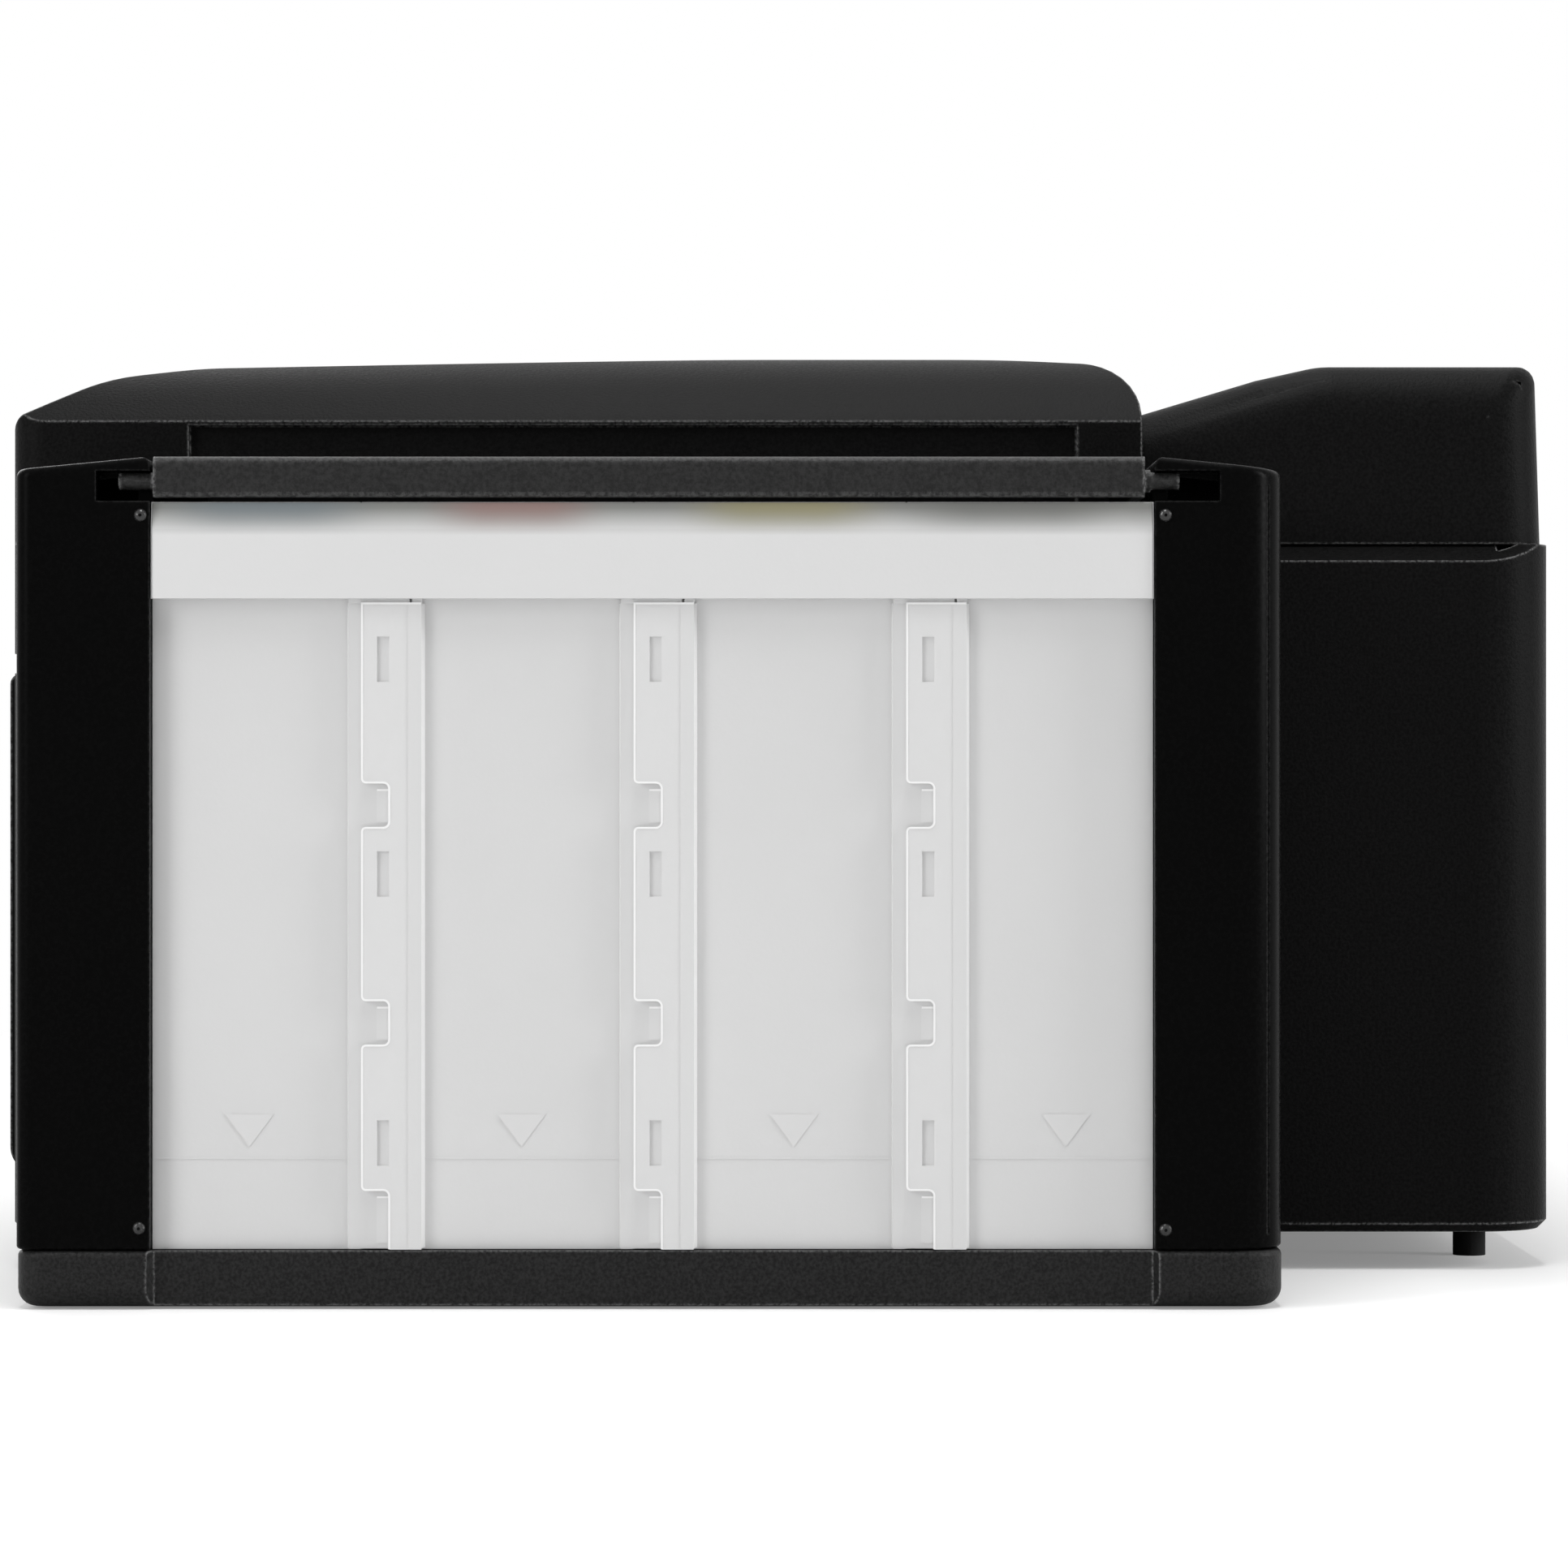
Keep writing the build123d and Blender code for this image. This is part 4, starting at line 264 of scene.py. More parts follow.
def milkyPlastic(name, light, dark, whole=False, shadedAndTinted=False):
    # Natural polypropylene: milky and soft; the tanks' own walls are a little lit from inside
    material, tree, shader, place = startMaterial(name)
    axes = addNode(tree, "ShaderNodeSeparateXYZ", {}, {"Vector": place.outputs["Object"]})
    drift = addNode(tree, "ShaderNodeTexNoise", {},
                    {"Vector": place.outputs["Object"],
                     "Scale": 1.0 / (tankLook["driftMm"] * mm), "Detail": 3.0})
    base = addNode(tree, "ShaderNodeMix", {"data_type": "RGBA"}, {"Factor": drift.outputs["Fac"]})
    base.inputs[6].default_value = linearColour(dark)
    base.inputs[7].default_value = linearColour(light)
    colour = base.outputs[2]
    if whole:
        colour = frontTone(tree, colour, axes.outputs["X"])
    # Painted shadow under the lid, holding the ink colours
    if shadedAndTinted:
        colour = lidShadowAndInkTints(tree, colour, axes.outputs["Y"], axes.outputs["Z"])
    fine = addNode(tree, "ShaderNodeTexNoise", {},
                   {"Vector": place.outputs["Object"],
                    "Scale": 1.0 / (tankLook["fineMm"] * mm), "Detail": 2.0})
    bump = addNode(tree, "ShaderNodeBump", {},
                   {"Height": fine.outputs["Fac"], "Distance": tankLook["bumpMm"] * mm})
    tree.links.new(colour, shader.inputs["Base Color"])
    tree.links.new(bump.outputs["Normal"], shader.inputs["Normal"])
    shader.inputs["Roughness"].default_value = tankLook["roughness"]
    shader.inputs["IOR"].default_value = tankLook["ior"]
    if whole:
        shader.inputs["Subsurface Weight"].default_value = tankLook["scatter"]
        shader.inputs["Subsurface Radius"].default_value = (1.0, 1.0, 1.0)
        shader.inputs["Subsurface Scale"].default_value = tankLook["scatterMm"] * mm
    return material


# Bare metals: colour, gloss, and the spacing and direction of their working marks
metals = {
    "groundSteel": dict(colour="#B9BBBE", roughness=0.18, lineMm=0.25, along=(1, 60, 60)),
    "zincSheet": dict(colour="#A9ACAE", roughness=0.36, lineMm=2.0, along=(1, 1, 1)),
    "motorSteel": dict(colour="#9EA1A5", roughness=0.3, lineMm=0.6, along=(1, 1, 1)),
}
metalLook = dict(markShare=0.05, glossLess=0.08, glossMore=0.1, darkShare=0.82)


def bareMetal(name):
    # Ground rod, zinc-coated sheet and drawn motor cans: metal with faint working marks
    look = metals[name]
    material, tree, shader, place = startMaterial(name)
    stretch = addNode(tree, "ShaderNodeMapping", {},
                      {"Vector": place.outputs["Object"], "Scale": look["along"]})
    marks = addNode(tree, "ShaderNodeTexNoise", {},
                    {"Vector": stretch.outputs["Vector"],
                     "Scale": metalLook["markShare"] / (look["lineMm"] * mm), "Detail": 4.0})
    rough = addNode(tree, "ShaderNodeMapRange", {},
                    {"Value": marks.outputs["Fac"],
                     "To Min": look["roughness"] - metalLook["glossLess"],
                     "To Max": look["roughness"] + metalLook["glossMore"]})
    shade = addNode(tree, "ShaderNodeMix", {"data_type": "RGBA"}, {"Factor": marks.outputs["Fac"]})
    colour = linearColour(look["colour"])
    shade.inputs[6].default_value = [c * metalLook["darkShare"] for c in colour[:3]] + [1]
    shade.inputs[7].default_value = colour
    tree.links.new(shade.outputs[2], shader.inputs["Base Color"])
    tree.links.new(rough.outputs["Result"], shader.inputs["Roughness"])
    shader.inputs["Metallic"].default_value = 1.0
    return material


hoseLook = dict(dark="#C9CDD0", light="#DDE0E2", hazeMm=6, roughness=0.3, scatter=0.4,
                scatterMm=1.5)
pipeLook = dict(dark="#9FB8A4", light="#B6CDBB", hazeMm=1, roughness=0.12)
printLook = dict(dark="#A3A5A6", light="#B9BBBC", hazeMm=0.4, roughness=0.6)


def hazyMaterial(name, look):
    # Two close tones that drift into each other
    material, tree, shader, place = startMaterial(name)
    haze = addNode(tree, "ShaderNodeTexNoise", {},
                   {"Vector": place.outputs["Object"], "Scale": 1.0 / (look["hazeMm"] * mm)})
    mix = addNode(tree, "ShaderNodeMix", {"data_type": "RGBA"}, {"Factor": haze.outputs["Fac"]})
    mix.inputs[6].default_value = linearColour(look["dark"])
    mix.inputs[7].default_value = linearColour(look["light"])
    tree.links.new(mix.outputs[2], shader.inputs["Base Color"])
    shader.inputs["Roughness"].default_value = look["roughness"]
    if "scatter" in look:
        shader.inputs["Subsurface Weight"].default_value = look["scatter"]
        shader.inputs["Subsurface Scale"].default_value = look["scatterMm"] * mm
    return material


# The data socket on the board has a tinned steel shell, behind this line across the case
socketShell = dict(behindMm=94.05, colour="#A6A8AA")


def addSocketShell(material):
    tree = material.node_tree
    shader = tree.nodes["Principled BSDF"]
    place = addNode(tree, "ShaderNodeTexCoord")
    axes = addNode(tree, "ShaderNodeSeparateXYZ", {}, {"Vector": place.outputs["Object"]})
    behind = addNode(tree, "ShaderNodeMath", {"operation": "GREATER_THAN"})
    tree.links.new(axes.outputs["Y"], behind.inputs[0])
    behind.inputs[1].default_value = socketShell["behindMm"] * mm
    shell = addNode(tree, "ShaderNodeMix", {"data_type": "RGBA"}, {"Factor": behind.outputs[0]})
    tree.links.new(shader.inputs["Base Color"].links[0].from_socket, shell.inputs[6])
    shell.inputs[7].default_value = linearColour(socketShell["colour"])
    tree.links.new(shell.outputs[2], shader.inputs["Base Color"])
    tree.links.new(behind.outputs[0], shader.inputs["Metallic"])


plastics = {name: mouldedPlastic(name) for name in finishes}
addSocketShell(plastics["circuitBoard"])
metalMaterials = {name: bareMetal(name) for name in metals}
hoseMaterial = hazyMaterial("siliconeHose", hoseLook)  # Silicone: milky, a little lit inside
pipeMaterial = hazyMaterial("lightPipe", pipeLook)  # Moulded light pipe: green cast, unlit
tankMaterial = milkyPlastic("naturalPolypropylene", tankLook["colour"], tankLook["shade"],
                            whole=True)
tankShadeMaterials = {name: milkyPlastic(name, *pair) for name, pair in tankShades.items()}

wearing = {
    "caseAbs": ["lower_case", "upper_case", "feeder_housing", "paper_support", "output_tray",
                "top_cover"],
    "panelAbs": ["ribbed_panel"],
    "casingAbs": ["tank_front_casing", "tank_rear_casing", "transport_lock", "tank_back_plate"],
    "baseAbs": ["tank_base"],
    "lidAbs": ["tank_lid"],
    "buttonAbs": ["button_power", "button_paper", "button_ink"],
    "innerAbs": ["platen", "roller_holders", "paper_chute", "hopper_plate", "cap_station",
                 "edge_guide", "paper_support_extension", "output_tray_extension"],
    "carriageAbs": ["carriage", "print_head", "power_inlet"],
    "acetal": ["feed_gear", "feed_motor_pinion", "idler_gear", "eject_gear", "motor_pulley",
               "idler_pulley", "star_wheels"],
    "rollerRubber": ["pickup_roller", "feed_roller", "eject_roller", "pinch_rollers"],
    "blackRubber": ["rubber_feet", "timing_belt"],
    "capCyan": ["tank_cap_1"], "capMagenta": ["tank_cap_2"],
    "capYellow": ["tank_cap_3"], "capBlack": ["tank_cap_4"],
    "feltPad": ["waste_ink_pad"],
    "circuitBoard": ["main_board"],
}
metalWearing = {
    "groundSteel": ["guide_rod", "case_screws"],
    "zincSheet": ["chassis", "power_supply"],
    "motorSteel": ["carriage_motor", "feed_motor"],
}


def dress(nodeName, material):
    mesh = nodes[nodeName].data
    for index in range(max(1, len(mesh.materials))):
        if index < len(mesh.materials):
            mesh.materials[index] = material
        else:
            mesh.materials.append(material)


for name, members in wearing.items():
    for nodeName in members:
        dress(nodeName, plastics[name])
for name, members in metalWearing.items():
    for nodeName in members:
        dress(nodeName, metalMaterials[name])
for nodeName in ("tank_hoses", "ink_hose_loop", "encoder_strip"):
    dress(nodeName, hoseMaterial)
dress("indicator_lenses", pipeMaterial)
for index in range(4):
    dress(f"ink_tank_{index + 1}", tankMaterial)
print("materials assigned")


def meshPiece(name, vertices, faces, material, body):
    mesh = bpy.data.meshes.new(name)
    mesh.from_pydata(vertices, [], faces)
    mesh.materials.append(material)
    mesh.update()
    piece = bpy.data.objects.new(name, mesh)
    bpy.context.scene.collection.objects.link(piece)
    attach(piece, body)
    return piece


# Moulded details of the ink tanks, on the face towards the camera, in millimetres: X is how
# far a face stands out, Y runs along the tanks and Z is the height
tankRow = dict(start=-91.4, pitch=36.06, count=4, bar=7.95, barFace=234.2, windowFace=233.0,
               stripFace=233.4, bottom=7.95, barTop=93.4, bandLow=94.0, leftEnd=-83.0,
               rightEnd=49.4)
barSlots = dict(low=2.1, high=3.7, half=3.0, places=(86.0, 57.6, 22.0), depth=0.35, back=2.3)
barNotches = dict(inset=0.12, depth=3.72, half=3.0, bend=0.8, corner=0.5, places=(66.7, 37.9),
                  lastTop=15.8, lastMiddle=11.9, lastHalf=3.9)
notchFloor = dict(low=-0.1, high=3.7, back=1.58, depth=0.7)
notchTab = dict(low=2.0, high=3.7, lift=0.7, drop=0.9, back=1.1, depth=0.6)
notchRidge = dict(low=2.05, high=3.6, drop=1.0, back=0.8, depth=0.56)
# Bead round a bar's edge: its near-white is a painted highlight
barBead = dict(width=0.26, rise=0.06, back=0.3)
sideStrips = dict(left=1.76, into=0.2, right=1.78, over=0.02, lift=0.1, sunk=0.2, back=0.3,
                  leftProud=0.05, rightProud=0.03)
barFlanks = dict(wide=0.45, leftFrom=1.95, leftTo=1.7, sunk=0.05, below=0.1)
bandJoint = dict(left=1.7, right=0.1, tickFrom=6.4, tick=0.3, over=0.02, sunk=0.2, proud=0.9)
levelLine = dict(height=19.9, half=0.1, left=0.15, right=1.9, sunk=0.1, proud=0.06)
levelArrow = dict(top=25.75, wide=6.4, tall=4.3, left=8, ends=9.7, sunk=0.1, proud=0.08)


def addPrism(slabs, low, high):
    # Prism between two outlines with the same number of points, which run the same way round
    vertices, faces = slabs
    start = len(vertices)
    count = len(low)
    vertices.extend(low + high)
    faces.append([start + index for index in reversed(range(count))])
    faces.append([start + count + index for index in range(count)])
    for index in range(count):
        after = (index + 1) % count
        faces.append([start + index, start + after, start + count + after, start + count + index])


def addSlab(slabs, outline, low, high):
    # Slab with its outline in Y and Z, between two planes across X
    addPrism(slabs, *[[(x * mm, y * mm, z * mm) for y, z in outline] for x in (low, high)])


def addFlank(slabs, outline, low, high):
    # Upright prism with its outline in X and Y, between two heights
    addPrism(slabs, *[[(x * mm, y * mm, z * mm) for x, y in outline] for z in (low, high)])


def rectangle(lowY, highY, lowZ, highZ):
    return [(lowY, lowZ), (highY, lowZ), (highY, highZ), (lowY, highZ)]


def addRim(slabs, path, width, low, high):
    # Narrow raised bead that follows an open path in Y and Z, mitred where it bends
    vertices, faces = slabs
    start = len(vertices)
    sideways = []
    for first, second in zip(path, path[1:]):
        alongY, alongZ = second[0] - first[0], second[1] - first[1]
        length = math.hypot(alongY, alongZ)
        sideways.append((-alongZ / length, alongY / length))
    for index, (y, z) in enumerate(path):
        before = sideways[max(0, index - 1)]
        after = sideways[min(len(sideways) - 1, index)]
        reach = width / 2 / (1 + before[0] * after[0] + before[1] * after[1])
        sideY, sideZ = (before[0] + after[0]) * reach, (before[1] + after[1]) * reach
        for side, x in ((1, low), (1, high), (-1, high), (-1, low)):
            vertices.append((x * mm, (y + side * sideY) * mm, (z + side * sideZ) * mm))
    for index in range(len(sideways)):
        ring = start + 4 * index
        for corner in range(4):
            after = (corner + 1) % 4
            faces.append([ring + corner, ring + after, ring + 4 + after, ring + 4 + corner])
    faces.append([start + corner for corner in reversed(range(4))])
    faces.append([start + 4 * len(sideways) + corner for corner in range(4)])


def cornerArc(y, z, radius, fromDegrees, toDegrees, steps=5):
    turns = [math.radians(fromDegrees + (toDegrees - fromDegrees) * step / steps)
             for step in range(steps + 1)]
    return [(y + radius * math.cos(turn), z + radius * math.sin(turn)) for turn in turns]


def barEdge(start):
    # Edge of a bar from its top down, in and out of the notches
    y = start + barNotches["inset"]
    inner = start + barNotches["depth"]
    half, bend, corner = barNotches["half"], barNotches["bend"], barNotches["corner"]
    path = [(start + tankRow["bar"], tankRow["barTop"]), (y, tankRow["barTop"])]
    for z in barNotches["places"]:
        path += cornerArc(y + corner, z + half + corner, corner, 180, 270)
        path += cornerArc(inner - bend, z + half - bend, bend, 90, 0)
        path += cornerArc(inner - bend, z - half + bend, bend, 0, -90)
        path += cornerArc(y + corner, z - half - corner, corner, 90, 180)
    path += cornerArc(y + corner, barNotches["lastTop"] + corner, corner, 180, 270)
    path += cornerArc(inner - bend, barNotches["lastTop"] - bend, bend, 90, 0)
    path.append((inner, tankRow["bottom"]))
    return path


def barDetails(parts, start):
    # Slots, notch floors with their tabs, and the bead round the edge of one bar, whiter than the
    # bar as a painted highlight
    bar = tankRow["barFace"]
    for z in barSlots["places"]:
        addSlab(parts["tankSlot"],
                rectangle(start + barSlots["low"], start + barSlots["high"],
                          z - barSlots["half"], z + barSlots["half"]),
                bar - barSlots["back"], bar - barSlots["depth"])
    notches = [(z, barNotches["half"]) for z in barNotches["places"]]
    for z, half in notches + [(barNotches["lastMiddle"], barNotches["lastHalf"])]:
        addSlab(parts["tankStrip"],
                rectangle(start + notchFloor["low"], start + notchFloor["high"],
                          z - half, z + half),
                bar - notchFloor["back"], bar - notchFloor["depth"])
        addSlab(parts["tankTab"],
                rectangle(start + notchTab["low"], start + notchTab["high"],
                          z - half + notchTab["lift"], z + half - notchTab["drop"]),
                bar - notchTab["back"], bar - notchTab["depth"])
        height = z + half - notchRidge["drop"]
        addRim(parts["tankHighlightBead"],
               [(start + notchRidge["low"], height), (start + notchRidge["high"], height)],
               barBead["width"], bar - notchRidge["back"], bar - notchRidge["depth"])
    addRim(parts["tankHighlightBead"], barEdge(start), barBead["width"], bar - barBead["back"],
           bar + barBead["rise"])


def barSides(parts, start):
    # Strips on both sides of a bar, sloped flanks beyond them, and the joint to the band above
    strips = parts["tankStrip"]
    window, strip, bar = tankRow["windowFace"], tankRow["stripFace"], tankRow["barFace"]
    bottom, top = tankRow["bottom"], tankRow["barTop"]
    end = start + tankRow["bar"]
    addSlab(strips, rectangle(start - sideStrips["left"], start + sideStrips["into"], bottom, top),
            window - sideStrips["sunk"], strip + sideStrips["leftProud"])
    addSlab(strips, rectangle(end - sideStrips["right"], end + sideStrips["over"],
                              bottom + sideStrips["lift"], top),
            bar - sideStrips["back"], bar + sideStrips["rightProud"])
    sunk = window - barFlanks["sunk"]
    addFlank(strips, [(sunk, end - barFlanks["sunk"]),
                      (bar - barFlanks["below"], end - barFlanks["sunk"]),
                      (sunk, end + barFlanks["wide"])], bottom + sideStrips["lift"], top)
    addFlank(strips, [(sunk, start - barFlanks["leftFrom"]), (strip, start - barFlanks["leftTo"]),
                      (sunk, start - barFlanks["leftTo"])], bottom + sideStrips["lift"], top)
    tick = start + bandJoint["tickFrom"]
    for low, high in ((start - bandJoint["left"], tick),
                      (tick + bandJoint["tick"], end + bandJoint["right"])):
        addSlab(strips, rectangle(low, high, top - bandJoint["over"],
                                  tankRow["bandLow"] + bandJoint["over"]),
                window - bandJoint["sunk"], window + bandJoint["proud"])


def levelMarks(parts, index, start):
    # Fill-level line across a window, and the arrow that points down at it
    window = tankRow["windowFace"]
    leftEnd = start + tankRow["bar"] + levelLine["left"] if index else tankRow["leftEnd"]
    rightEnd = min(start + tankRow["pitch"] - levelLine["right"], tankRow["rightEnd"])
    addSlab(parts["tankArrow"],
            rectangle(leftEnd, rightEnd, levelLine["height"] - levelLine["half"],
                      levelLine["height"] + levelLine["half"]),
            window - levelLine["sunk"], window + levelLine["proud"])
    middle = start + levelArrow["left"] + (tankRow["pitch"] - levelArrow["ends"]) / 2
    top, half = levelArrow["top"], levelArrow["wide"] / 2
    addSlab(parts["tankArrow"], [(middle - half, top), (middle, top - levelArrow["tall"]),
                                 (middle + half, top)],
            window - levelArrow["sunk"], window + levelArrow["proud"])


def tankMarks():
    parts = {name: ([], []) for name in tankShades}
    for index in range(tankRow["count"]):
        start = tankRow["start"] + index * tankRow["pitch"]
        if index:
            barDetails(parts, start)
            barSides(parts, start)
        levelMarks(parts, index, start)
    for name, slabs in parts.items():
        meshPiece(name + "s", slabs[0], slabs[1], tankShadeMaterials[name], "tank_unit")


def bandStrip():
    # One extruded strip over the tops of all four tanks, its upper part sloped back
    look = tankBand
    front, back = look["face"] + look["thick"], look["face"] - look["sunk"]
    slope = front - look["slopeBack"]
    profile = [(front, look["lowZ"]), (front, look["foldZ"]), (slope, look["highZ"]),
               (slope - look["sunk"], look["highZ"]), (back, look["foldZ"]), (back, look["lowZ"])]
    count = len(profile)
    vertices = [(x * mm, y * mm, z * mm)
                for y in (look["lowY"], look["highY"]) for x, z in profile]
    faces = [list(range(count)), [count + index for index in reversed(range(count))]]
    for index in range(count):
        after = (index + 1) % count
        faces.append([index, count + index, count + after, after])
    # The band's top carries the painted shadow of the lid
    material = milkyPlastic("tankBandPlastic", look["light"], look["shade"], shadedAndTinted=True)
    piece = meshPiece("tankBandStrip", vertices, faces, material, "tank_unit")
    edges = piece.modifiers.new("edges", "BEVEL")
    edges.width = look["edge"] * mm
    edges.segments = 2


tankMarks()
bandStrip()
print("tank details added")


# Domed heads of the four pins that hold the casings
casingPins = dict(places=((-84.4, 105.0), (51.0, 105.0), (-84.6, 10.8), (51.0, 10.6)),
                  face=235.42, radius=0.85, rise=0.55, rings=5, sides=16)


def pinHeads():
    look = casingPins
    sides = look["sides"]
    vertices, faces = [], []
    for y, z in look["places"]:
        start = len(vertices)
        for ring in range(look["rings"]):
            turn = math.pi / 2 * ring / look["rings"]
            for side in range(sides):
                angle = 2 * math.pi * side / sides
                vertices.append(((look["face"] + look["rise"] * math.sin(turn)) * mm,
                                 (y + look["radius"] * math.cos(turn) * math.cos(angle)) * mm,
                                 (z + look["radius"] * math.cos(turn) * math.sin(angle)) * mm))
        vertices.append(((look["face"] + look["rise"]) * mm, y * mm, z * mm))
        top = len(vertices) - 1
        for ring in range(look["rings"]):
            for side in range(sides):
                first = start + ring * sides + side
                second = start + ring * sides + (side + 1) % sides
                if ring == look["rings"] - 1:
                    faces.append([first, second, top])
                else:
                    faces.append([first, second, second + sides, first + sides])
        faces.append([start + side for side in reversed(range(sides))])
    meshPiece("casingPinHeads", vertices, faces, plastics["pinAbs"], "tank_unit")


pinHeads()
print("pin heads added")


# Plain symbols pad-printed on the three buttons. Their shapes are in shares of the size
buttonPrint = dict(lineMm=0.45, sizeMm=2.3, raisedMm=0.04, arcSteps=28)
powerSign = dict(gapDegrees=40, barLow=0.1, barHigh=1.15)
sheetSign = dict(side=0.55, end=0.7, foldSide=0.2, foldEnd=0.35)
dropSign = dict(round=0.5, down=0.2, tip=0.45, narrow=0.5)


def ribbonPiece(name, paths, z, material, body):
    # Flat printed lines of even width, each path a list of points in X and Y
    half = buttonPrint["lineMm"] * mm / 2
    vertices = []
    faces = []
    for path, closed in paths:
        count = len(path)
        start = len(vertices)
        for index in range(count):
            before = path[index - 1] if closed or index else path[0]
            after = path[(index + 1) % count] if closed or index < count - 1 else path[index]
            alongX, alongY = after[0] - before[0], after[1] - before[1]
            length = math.hypot(alongX, alongY)
            sideX, sideY = -alongY / length * half, alongX / length * half
            vertices.append((path[index][0] + sideX, path[index][1] + sideY, z))
            vertices.append((path[index][0] - sideX, path[index][1] - sideY, z))
        for index in range(count if closed else count - 1):
            first = start + 2 * index
            second = start + 2 * ((index + 1) % count)
            faces.append([first, first + 1, second + 1, second])
    return meshPiece(name, vertices, faces, material, body)


def powerPaths(x, y, size):
    steps = buttonPrint["arcSteps"]
    gap = math.radians(powerSign["gapDegrees"])
    turns = [gap + (2 * math.pi - 2 * gap) * step / steps for step in range(steps + 1)]
    arc = [(x + size * math.sin(turn), y + size * math.cos(turn)) for turn in turns]
    return [(arc, False), ([(x, y + powerSign["barLow"] * size),
                            (x, y + powerSign["barHigh"] * size)], False)]


def sheetPaths(x, y, size):
    side, end = sheetSign["side"] * size, sheetSign["end"] * size
    return [([(x - side, y - end), (x + side, y - end),
              (x + side, y + sheetSign["foldEnd"] * size),
              (x + sheetSign["foldSide"] * size, y + end), (x - side, y + end)], True)]


def dropPaths(x, y, size):
    path = []
    for step in range(buttonPrint["arcSteps"]):
        turn = 2 * math.pi * step / buttonPrint["arcSteps"]
        pull = max(0.0, math.cos(turn)) ** 3
        wide = dropSign["round"] * size * math.sin(turn) * (1 - dropSign["narrow"] * pull)
        path.append((x + wide, y - dropSign["down"] * size
                     + dropSign["round"] * size * math.cos(turn) + dropSign["tip"] * size * pull))
    return [(path, True)]


def buttonSymbols():
    material = hazyMaterial("padPrint", printLook)  # Matt ink with slightly uneven cover
    for nodeName, body, draw in (("button_power", "power_button", powerPaths),
                                 ("button_paper", "paper_button", sheetPaths),
                                 ("button_ink", "ink_button", dropPaths)):
        low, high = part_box(nodeName)
        paths = draw((low[0] + high[0]) / 2, (low[1] + high[1]) / 2, buttonPrint["sizeMm"] * mm)
        ribbonPiece(nodeName + "Symbol", paths, high[2] + buttonPrint["raisedMm"] * mm, material,
                    body)


buttonSymbols()
print("button symbols printed")


def geometryTree(name, sizes):
    tree = bpy.data.node_groups.new(name, "GeometryNodeTree")
    tree.interface.new_socket("Geometry", in_out="INPUT", socket_type="NodeSocketGeometry")
    for label, value in sizes.items():
        kind = "NodeSocketInt" if isinstance(value, int) else "NodeSocketFloat"
        socket = tree.interface.new_socket(label, in_out="INPUT", socket_type=kind)
        socket.default_value = value
    tree.interface.new_socket("Geometry", in_out="OUTPUT", socket_type="NodeSocketGeometry")
    return tree, addNode(tree, "NodeGroupInput"), addNode(tree, "NodeGroupOutput")


def bakedPiece(name, tree, sizes, material, body):
    # Runs the tree once and keeps the result as a plain mesh
    holder = bpy.data.objects.new(name + "Holder", bpy.data.meshes.new(name + "Holder"))
    bpy.context.scene.collection.objects.link(holder)
    modifier = holder.modifiers.new("build", "NODES")
    modifier.node_group = tree
    for item in tree.interface.items_tree:
        if item.item_type == "SOCKET" and item.in_out == "INPUT" and item.name in sizes:
            modifier[item.identifier] = sizes[item.name]
    depsgraph = bpy.context.evaluated_depsgraph_get()
    mesh = bpy.data.meshes.new_from_object(holder.evaluated_get(depsgraph))
    bpy.data.objects.remove(holder)
    mesh.name = name
    if not mesh.materials:
        mesh.materials.append(material)
    piece = bpy.data.objects.new(name, mesh)
    bpy.context.scene.collection.objects.link(piece)
    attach(piece, body)
    return piece


# Teeth inside both straight runs of the carriage belt
beltTeeth = dict(pitchMm=2.03, wideMm=0.9, tallMm=0.6, acrossShare=0.98, leftMm=-204.0,
                 rightMm=149.0, innerMm=(75.0, 85.0), axisMm=80.0)


def beltToothRows():
    low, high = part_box("timing_belt")
    sizes = {"Count": int((beltTeeth["rightMm"] - beltTeeth["leftMm"]) / beltTeeth["pitchMm"]),
             "Along": beltTeeth["wideMm"] * mm,
             "Across": (high[1] - low[1]) * beltTeeth["acrossShare"],
             "Tall": beltTeeth["tallMm"] * mm}
    tree, given, result = geometryTree("beltTeeth", sizes)
    size = addNode(tree, "ShaderNodeCombineXYZ", {},
                   {"X": given.outputs["Along"], "Y": given.outputs["Across"],
                    "Z": given.outputs["Tall"]})
    tooth = addNode(tree, "GeometryNodeMeshCube", {}, {"Size": size.outputs["Vector"]})
    both = addNode(tree, "GeometryNodeJoinGeometry")
    y = (low[1] + high[1]) / 2
    for inner in beltTeeth["innerMm"]:
        inwards = 1 if inner < beltTeeth["axisMm"] else -1
        z = (inner + inwards * beltTeeth["tallMm"] / 2) * mm
        row = addNode(tree, "GeometryNodeMeshLine", {"mode": "END_POINTS"},
                      {"Count": given.outputs["Count"],
                       "Start Location": (beltTeeth["leftMm"] * mm, y, z),
                       "Offset": (beltTeeth["rightMm"] * mm, y, z)})
        copies = addNode(tree, "GeometryNodeInstanceOnPoints", {},
                         {"Points": row.outputs["Mesh"], "Instance": tooth.outputs["Mesh"]})
        tree.links.new(copies.outputs["Instances"], both.inputs["Geometry"])
    solid = addNode(tree, "GeometryNodeRealizeInstances", {},
                    {"Geometry": both.outputs["Geometry"]})
    painted = addNode(tree, "GeometryNodeSetMaterial", {},
                      {"Geometry": solid.outputs["Geometry"], "Material": plastics["blackRubber"]})
    tree.links.new(painted.outputs["Geometry"], result.inputs["Geometry"])
    return bakedPiece("beltTeeth", tree, sizes, plastics["blackRubber"], "case")


beltToothRows()
print("belt teeth made")


# Fine ribs moulded across the panel on the top cover
coverRibs = dict(pitchMm=0.62, heightMm=0.34, widthMm=0.4, endGapMm=1.2, frontSkipMm=3.4,
                 rearSkipMm=0.8, frontTopMm=131.1)


